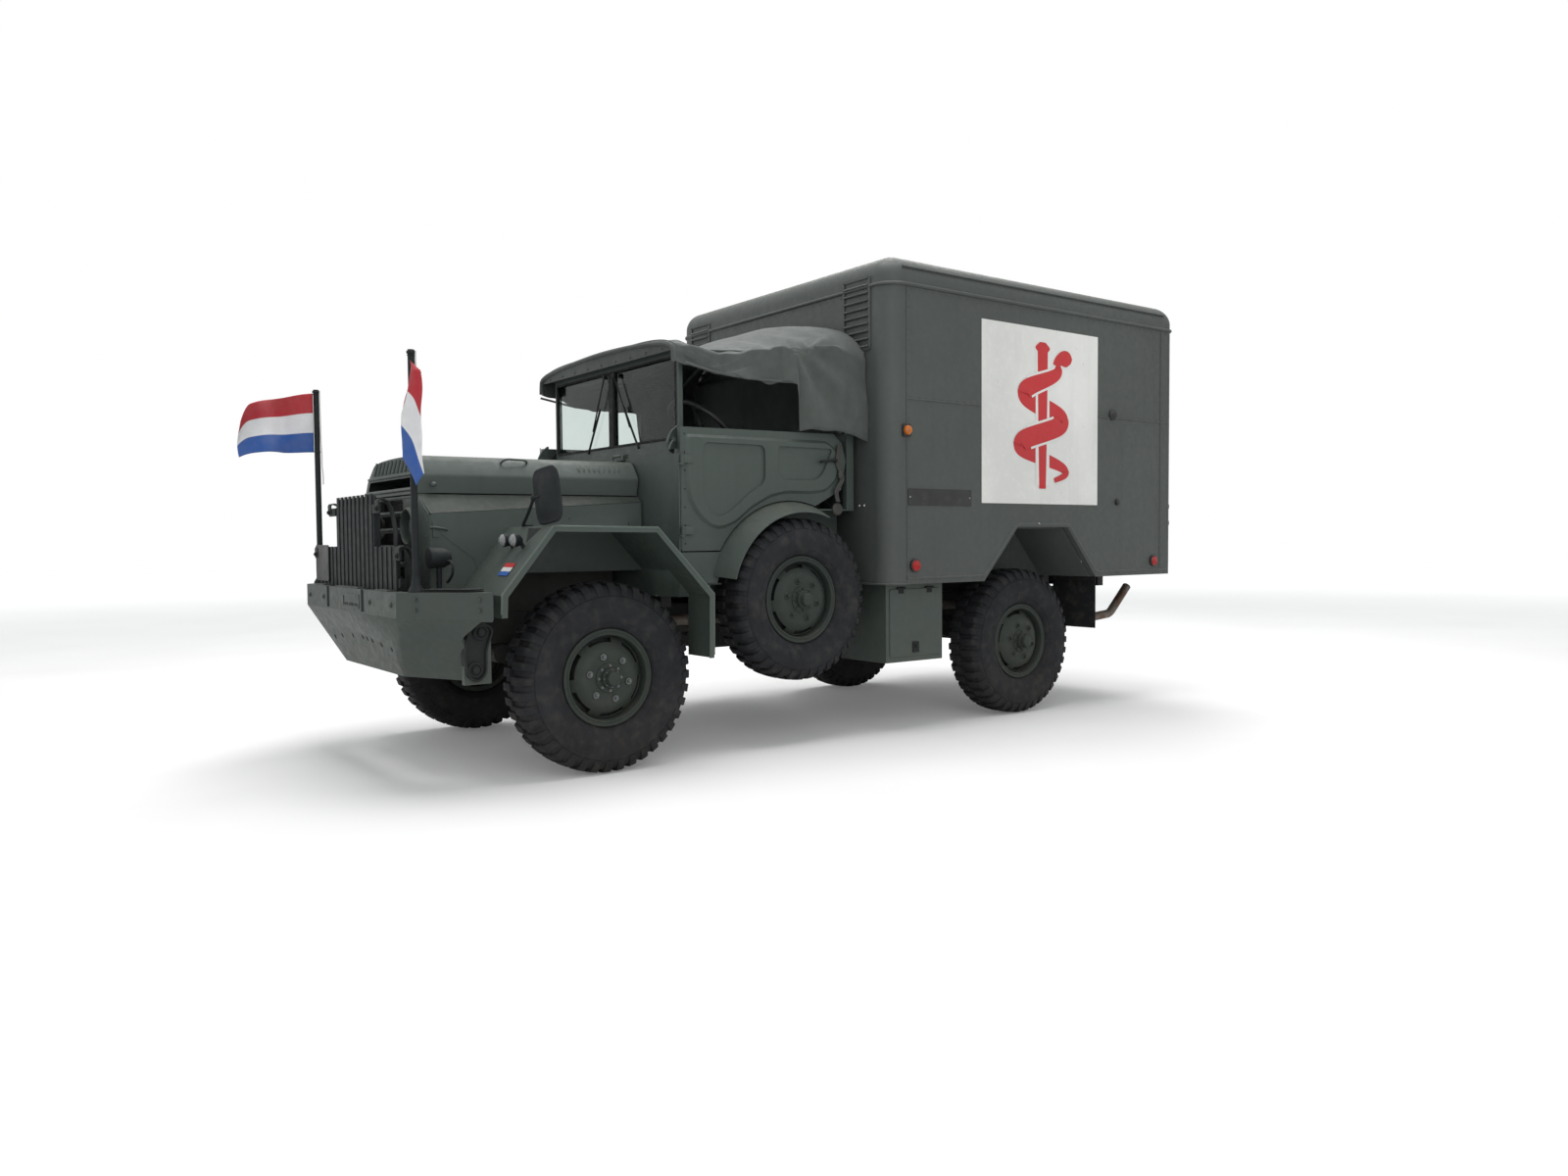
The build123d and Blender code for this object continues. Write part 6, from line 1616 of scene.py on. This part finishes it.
class TRUCK_OT_rear_doors(bpy.types.Operator):
    """Build the rear doors with framed windows, pressings, handles, bolts and the step"""

    bl_idname = "truck.rear_doors"
    bl_label = "Rear doors"

    def execute(self, context):
        for side, name in SIDES:
            door = f"rear_door_{name}"
            eased(door, "Box paint", 0.002)
            face_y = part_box("box_roof")[1].y
            bm = bmesh.new()
            frame_in(bm, block(side * 0.232, 1.682, side * 0.708, 2.168), 1, face_y - 0.001, 0.008, 0.022, 0.03)
            for low, high in ((0.96, 1.1), (2.23, 2.36)):
                frame_in(bm, block(side * 0.08, low, side * 0.86, high), 1, face_y - 0.001, 0.004, 0.012, 0.02)
            for x in (side * 0.04, side * 0.9):
                rivets_in(bm, spaced((x, face_y, 0.93), (x, face_y, 2.37), 22), AXIS_Y, 0.005)
            piece(door + "_trim", "Box paint", bm, 0.0012, body=door)
            glass = bmesh.new()
            box_in(glass, (side * 0.252, face_y - 0.024, 1.702), (side * 0.688, face_y - 0.018, 2.148))
            piece(door + "_glass", "Glass", glass, body=door)
            seal = bmesh.new()
            frame_in(seal, block(side * 0.25, 1.7, side * 0.69, 2.15), 1, face_y - 0.028, 0.014, 0.012, 0.02)
            if side < 0:
                box_in(seal, (-0.012, face_y - 0.002, 0.92), (-0.001, face_y + 0.004, 2.38))
            piece(door + "_seal", "Flap rubber", seal, body=door)
            grip = bmesh.new()
            x = side * 0.075
            plate_in(grip, block(x - 0.028, 1.52, x + 0.028, 1.66), 1, face_y, 0.005, 0.014)
            rod_in(grip, (x, face_y, 1.6), (x, face_y + 0.04, 1.6), 0.011)
            tube_in(grip, [(x, face_y + 0.036, 1.6), (x + side * 0.04, face_y + 0.044, 1.598), (x + side * 0.13, face_y
                + 0.044, 1.592)], 0.009)
            for z in (0.95, 2.35):
                rod_in(grip, (x, face_y + 0.012, z - 0.05), (x, face_y + 0.012, z + 0.05), 0.008)
                box_in(grip, (x - 0.02, face_y, z - 0.03), (x + 0.02, face_y + 0.016, z + 0.03))
            for z in (1.0, 1.44, 2.26):
                for dx in (0.075, 0.11):
                    bolt_in(grip, (side * (0.946 - dx), face_y, z), AXIS_Y, 0.007, 0.004)
            piece(door + "_handle", "Guard black", grip, 0.001, body=door)
        step = copied("rear_step")
        for index in range(9):
            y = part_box("rear_step")[1].y - 0.128 + index * 0.014 - 0.005
            box_in(step, (-0.33, y, 0.5445), (0.33, y + 0.006, 0.5485))
        eased("rear_step", "Chassis paint", 0.002, step)
        return {"FINISHED"}


# Under the body

class TRUCK_OT_under(bpy.types.Operator):
    """Dress the chassis, axles, lockers, tank, exhaust and flaps, and add their small hardware"""

    bl_idname = "truck.under"
    bl_label = "Chassis and running gear"

    def execute(self, context):
        for name in ("chassis_frame", "drivetrain", "front_axle", "rear_axle", "knuckle_left", "knuckle_right",
                "fuel_tank"):
            eased(name, "Chassis paint", 0.002)
        eased("exhaust_pipe", "Pipe steel", 0.0)
        eased("mudflaps", "Flap rubber", 0.002)
        eased("side_lockers", "Body paint", 0.004)
        low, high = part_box("side_lockers")
        bm, steel = bmesh.new(), bmesh.new()
        for side in HANDS:
            x = side * high.x
            lid = block(low.y + 0.025, low.z + 0.03, high.y - 0.025, high.z - 0.03)
            plate_in(bm, lid, 0, x - side * 0.001, side * 0.006, 0.012)
            for share in (0.25, 0.75):
                y = low.y + (high.y - low.y) * share
                rod_in(steel, (x + side * 0.006, y - 0.03, high.z - 0.026), (x + side * 0.006, y + 0.03, high.z
                    - 0.026), 0.006)
                box_in(steel, (x, y - 0.02, high.z - 0.055), (x + side * 0.007, y + 0.02, high.z - 0.02))
            middle = (low.y + high.y) / 2
            box_in(steel, (x + side * 0.004, middle - 0.022, low.z + 0.05), (x + side * 0.012, middle + 0.022, low.z
                + 0.11))
            rod_in(steel, (x, middle, low.z + 0.085), (x + side * 0.02, middle, low.z + 0.085), 0.009)
        piece("side_locker_lids", "Body paint", bm, 0.002)
        piece("side_locker_catches", "Guard black", steel, 0.0008)
        bm = bmesh.new()
        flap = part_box("mudflaps")
        for side in HANDS:
            box_in(bm, (side * 0.61, flap[0].y - 0.006, 0.8), (side * 0.965, flap[0].y + 0.001, 0.83))
            for index in range(6):
                bolt_in(bm, (side * (0.64 + index * 0.06), flap[0].y - 0.005, 0.815), -AXIS_Y, 0.007, 0.005)
        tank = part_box("fuel_tank")
        for y in (tank[0].y + 0.12, tank[1].y - 0.12):
            box_in(bm, (tank[0].x - 0.002, y - 0.02, tank[0].z - 0.002), (tank[1].x + 0.002, y + 0.02, tank[0].z
                + 0.002))
            for side in HANDS:
                box_in(bm, (side * 0.3, y - 0.02, tank[0].z), (side * 0.303, y + 0.02, tank[1].z))
        piece("strap_hardware", "Chassis paint", bm, 0.0006)
        return {"FINISHED"}


# Flags

LIMP_FOLDS = ((0, 0, 0), (0.02, -0.01, 0.0015), (0.1, -0.034, 0.003), (0.12, -0.034, 0.006), (0.29, 0.03, 0.0085),
    (0.31, 0.03, 0.0115), (0.47, -0.028, 0.014), (0.485, -0.03, 0.0185), (0.5, -0.028, 0.023), (0.6, 0.012, 0.03),
    (0.73, 0.052, 0.026), (0.745, 0.055, 0.0225), (0.76, 0.052, 0.0195), (0.98, -0.022, 0.0185), (1, -0.026, 0.0185))


class TRUCK_OT_flags(bpy.types.Operator):
    """Build the two flags, one flying forwards and one hanging limp, with their poles"""

    bl_idname = "truck.flags"
    bl_label = "Flags and poles"

    def execute(self, context):
        eased("flag_poles", "Guard black", 0.0)
        pole_y = (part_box("flag_poles")[0].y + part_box("flag_poles")[1].y) / 2
        pole_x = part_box("flag_poles")[1].x - 0.0145
        top, hoist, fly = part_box("flag_right")[1].z, 0.31, 0.465
        caps = bmesh.new()
        for side in HANDS:
            spun_in(caps, ((0, 0.0145), (0.004, 0.019), (0.012, 0.019), (0.016, 0.012), (0.019, 0)), (side * pole_x,
                pole_y, 1.887 - 0.019), AXIS_Z, steps=24)
            spun_in(caps, ((0, 0.034), (0.01, 0.032), (0.03, 0.019), (0.07, 0.017), (0.07, 0.0145)), (side * pole_x,
                pole_y, 0.865), AXIS_Z, steps=24)
            for z in (top - 0.004, top - hoist + 0.004):
                tube_in(caps, [(side * pole_x + 0.017 * cos(a * pi / 4), pole_y + 0.017 * sin(a * pi / 4), z)
                    for a in range(8)], 0.002, closed=True)
        piece("flag_pole_fittings", "Guard black", caps)
        ropes = bmesh.new()
        for side in HANDS:
            spots = []
            for index in range(14):
                out = 0.0192 + 0.014 * max(0.0, index / 13 - 0.45) * (1 + 0.4 * sin(index * 1.7))
                spots.append((side * pole_x + 0.6 * out, pole_y + 0.8 * out, top + 0.015 - 0.038 * index))
            tube_in(ropes, spots, 0.0038)
        piece("flag_ropes", "White paint", ropes)
        bm = sheet_grid(64, 44, (fly, hoist))
        for vert in bm.verts:
            run, rise = vert.co.x, vert.co.y
            y = pole_y - 0.0165 - 0.352 * run - 0.012 * sin(run * 7 + rise * 2) * run
            droop = ((0.022 + 0.076 * rise) * run ** 1.35 + 0.008 * sin(run * 6.2 + 0.6) * run + (0.012 + 0.055 * rise)
                * max(0.0, (run - 0.86) / 0.14) ** 2)
            x = -pole_x + 0.03 * sin(run * 9.4 + (1 - rise) * 1.5) * min(1.0, run * 2.6) + 0.016 * sin(rise * 5 + run
                * 3) * run
            vert.co = (x, y, top - hoist + hoist * rise - droop)
        flying = piece("flag_right_cloth", "Flag cloth", bm, stands_for=("flag_right",), outward=False, angle=80)
        bm = sheet_grid(104, 70, (fly, hoist))
        for vert in bm.verts:
            across, down = vert.co.x * fly, (1 - vert.co.y) * hoist
            away = Vector((across, down)).length
            turn = atan2(across, down) / (pi / 2) if away else 0.0
            wide = min(1.0, away / 0.06)
            right, near = profile_at(LIMP_FOLDS, turn)
            spread = min(1.0, away / 0.24)
            right = right * (0.38 + 0.62 * spread) + 0.03 * (1 - spread)
            right = wide * (right + 0.005 * sin(away * 13 + 0.6) + 0.0035 * sin(away * 31 + turn * 5) * turn)
            near = 0.0172 + wide * (near + 0.004 * (1 + sin(away * 11 + 2)))
            vert.co = (pole_x + 0.6 * right + 0.8 * near, pole_y + 0.8 * right - 0.6 * near, top - 0.025 - away
                * (1 - 0.04 * min(1.0, turn * 2)) + 0.012 * wide * turn)
        limp = piece("flag_left_cloth", "Flag cloth", bm, stands_for=("flag_left",), outward=False, angle=80)
        for cloth in (flying, limp):
            walled(cloth, 0.0008)
        return {"FINISHED"}


# Stage

class TRUCK_OT_stage(bpy.types.Operator):
    """Set the pale floor, the soft studio light and the camera at the photograph's angle"""

    bl_idname = "truck.stage"
    bl_label = "Stage, light and camera"

    def execute(self, context):
        scene = context.scene
        scene.view_settings.view_transform = "Standard"
        bm = bmesh.new()
        bmesh.ops.create_grid(bm, x_segments=2, y_segments=2, size=40)
        floor = linked("floor", mesh_of("floor", bm))
        mix = Recipe("Floor")
        pale = mix.blend(mix.between(mix.cloud(0.8, 3), 0.3, 0.7), opaque(232, 232, 230), opaque(238, 238, 236))
        mix.set(Base_Color=pale, Roughness=mix.patchy(4, 3, 0.85, 0.95))
        seen = mix.add("LightPath").outputs["Is Camera Ray"]
        reach = mix.add("VectorMath")
        reach.operation = "LENGTH"
        mix.tree.links.new(mix.add("TexCoord").outputs["Object"], reach.inputs[0])
        glow = mix.between(reach.outputs["Value"], 5, 22, 0.1, 0.62)
        mix.set(Emission_Strength=mix.sum("MULTIPLY", seen, glow))
        mix.shader.inputs["Emission Color"].default_value = (1, 1, 1, 1)
        floor.data.materials.append(mix.material)
        world = bpy.data.worlds.new("Studio")
        scene.world = world
        world.use_nodes = True
        tree = world.node_tree
        tree.nodes.clear()
        made = {}
        for name, kind in (("seen", "Background"), ("lit", "Background"), ("ray", "LightPath"), ("mixer", "MixShader"),
                ("output", "OutputWorld"), ("either", "Math"), ("any", "Math")):
            made[name] = tree.nodes.new("ShaderNode" + kind)
        for name, colour, strength in (("seen", (1, 1, 1, 1), 1.0), ("lit", (0.95, 0.975, 1, 1),
                scene.truck_sizes.sky)):
            made[name].inputs[0].default_value = colour
            made[name].inputs[1].default_value = strength
        made["either"].operation = made["any"].operation = "MAXIMUM"
        for start, socket, end, slot in (("ray", "Is Camera Ray", "either", 0), ("ray", "Is Glossy Ray", "either", 1),
                ("either", 0, "any", 0), ("ray", "Is Transmission Ray", "any", 1), ("any", 0, "mixer", 0),
                ("lit", 0, "mixer", 1), ("seen", 0, "mixer", 2), ("mixer", 0, "output", 0)):
            tree.links.new(made[start].outputs[socket], made[end].inputs[slot])
        for name, spot, aimed, size, power in (("key", (-3.5, 4.5, 7.5), (0, 0.3, 1.2), 5.0, 330),
                ("fill", (8.5, -4.0, 4.5), (0, 0, 1.2), 6.0, 150), ("front", (-3.5, -9.0, 3.5), (0, -1, 1.0), 5.0, 70),
                ("top", (0.5, 0, 8.5), (0, 0, 1), 6.0, 520)):
            light = bpy.data.lights.new(name, "AREA")
            light.shape = "SQUARE"
            light.size = size
            light.energy = power
            linked(name, light).matrix_world = aim(spot, Vector(spot) - Vector(aimed))
        camera = linked("camera", bpy.data.cameras.new("camera"))
        camera.data.lens = 25.567
        camera.data.sensor_width = 36
        camera.data.clip_end = 200
        pitch = radians(2.46)
        forward = Vector((-0.7996 * cos(pitch), 0.6005 * cos(pitch), -sin(pitch)))
        turn = forward.to_track_quat("-Z", "Y").to_matrix().to_4x4() @ Matrix.Rotation(radians(-0.45), 4, "Z")
        camera.matrix_world = Matrix.Translation((5.4665, -3.912, 1.0743)) @ turn
        scene.camera = camera
        return {"FINISHED"}


# Add-on

class TruckSizes(bpy.types.PropertyGroup):
    """Sizes that a user would change."""

    lug_count: bpy.props.IntProperty(name="Tread lugs", description="Lugs in each row of a tyre", default=40, min=24,
        max=60)
    lug_share: bpy.props.FloatProperty(name="Lug share", description="A lug's share of its pitch", default=0.56,
        min=0.3, max=0.8, subtype="FACTOR")
    canvas_sag: bpy.props.FloatProperty(name="Canvas sag", description="How far the roof hangs between its bows",
        default=0.03, min=0, max=0.06, subtype="DISTANCE", unit="LENGTH")
    sign_height: bpy.props.FloatProperty(name="Sign height", description="Height of the staff on the side panels",
        default=0.86, min=0.4, max=0.98, subtype="DISTANCE", unit="LENGTH")
    sky: bpy.props.FloatProperty(name="Sky", description="Strength of the light from all round", default=0.5, min=0,
        max=1)


class TruckColours(bpy.types.PropertyGroup):
    """Paint and cloth colours."""

    body: bpy.props.FloatVectorProperty(name="Body", description="Paint of the cab and front", subtype="COLOR", size=3,
        default=shade(61, 71, 66), min=0, max=1)
    box: bpy.props.FloatVectorProperty(name="Box", description="Paint of the box body", subtype="COLOR", size=3,
        default=shade(66, 71, 68), min=0, max=1)
    canvas: bpy.props.FloatVectorProperty(name="Canvas", description="The cab's canvas", subtype="COLOR", size=3,
        default=shade(72, 77, 74), min=0, max=1)
    panel: bpy.props.FloatVectorProperty(name="Sign panel", description="Ground of the medical sign", subtype="COLOR",
        size=3, default=shade(226, 226, 222), min=0, max=1)
    sign: bpy.props.FloatVectorProperty(name="Sign figure", description="Figure of the medical sign", subtype="COLOR",
        size=3, default=shade(190, 40, 44), min=0, max=1)


STEPS = (TRUCK_OT_finishes, TRUCK_OT_stage, TRUCK_OT_tyres, TRUCK_OT_wheels, TRUCK_OT_front_bumper, TRUCK_OT_nose,
    TRUCK_OT_bonnet, TRUCK_OT_mudguards, TRUCK_OT_doors, TRUCK_OT_cab, TRUCK_OT_seats, TRUCK_OT_canvas,
    TRUCK_OT_box_shell, TRUCK_OT_box_fittings, TRUCK_OT_sign, TRUCK_OT_rear_doors, TRUCK_OT_under, TRUCK_OT_flags)


class TRUCK_PT_panel(bpy.types.Panel):
    """The truck's sizes, colours and building steps."""

    bl_idname = "TRUCK_PT_panel"
    bl_label = "Ambulance truck"
    bl_space_type = "VIEW_3D"
    bl_region_type = "UI"
    bl_category = "Truck"

    def draw(self, context):
        for group in (context.scene.truck_sizes, context.scene.truck_colours):
            for name in group.bl_rna.properties.keys():
                if name not in ("rna_type", "name"):
                    self.layout.prop(group, name)
        for step in STEPS:
            self.layout.operator(step.bl_idname)


CLASSES = (TruckSizes, TruckColours) + STEPS + (TRUCK_PT_panel,)


def register():
    """Registers the classes and hangs the settings on the scene."""
    for made in CLASSES:
        bpy.utils.register_class(made)
    bpy.types.Scene.truck_sizes = bpy.props.PointerProperty(type=TruckSizes)
    bpy.types.Scene.truck_colours = bpy.props.PointerProperty(type=TruckColours)


def unregister():
    """Takes the settings and classes away again."""
    del bpy.types.Scene.truck_sizes
    del bpy.types.Scene.truck_colours
    for made in reversed(CLASSES):
        bpy.utils.unregister_class(made)


def main():
    register()
    for step in STEPS:
        group, call = step.bl_idname.split(".")
        getattr(getattr(bpy.ops, group), call)()
    bpy.context.view_layer.update()


if __name__ == "__main__":
    main()
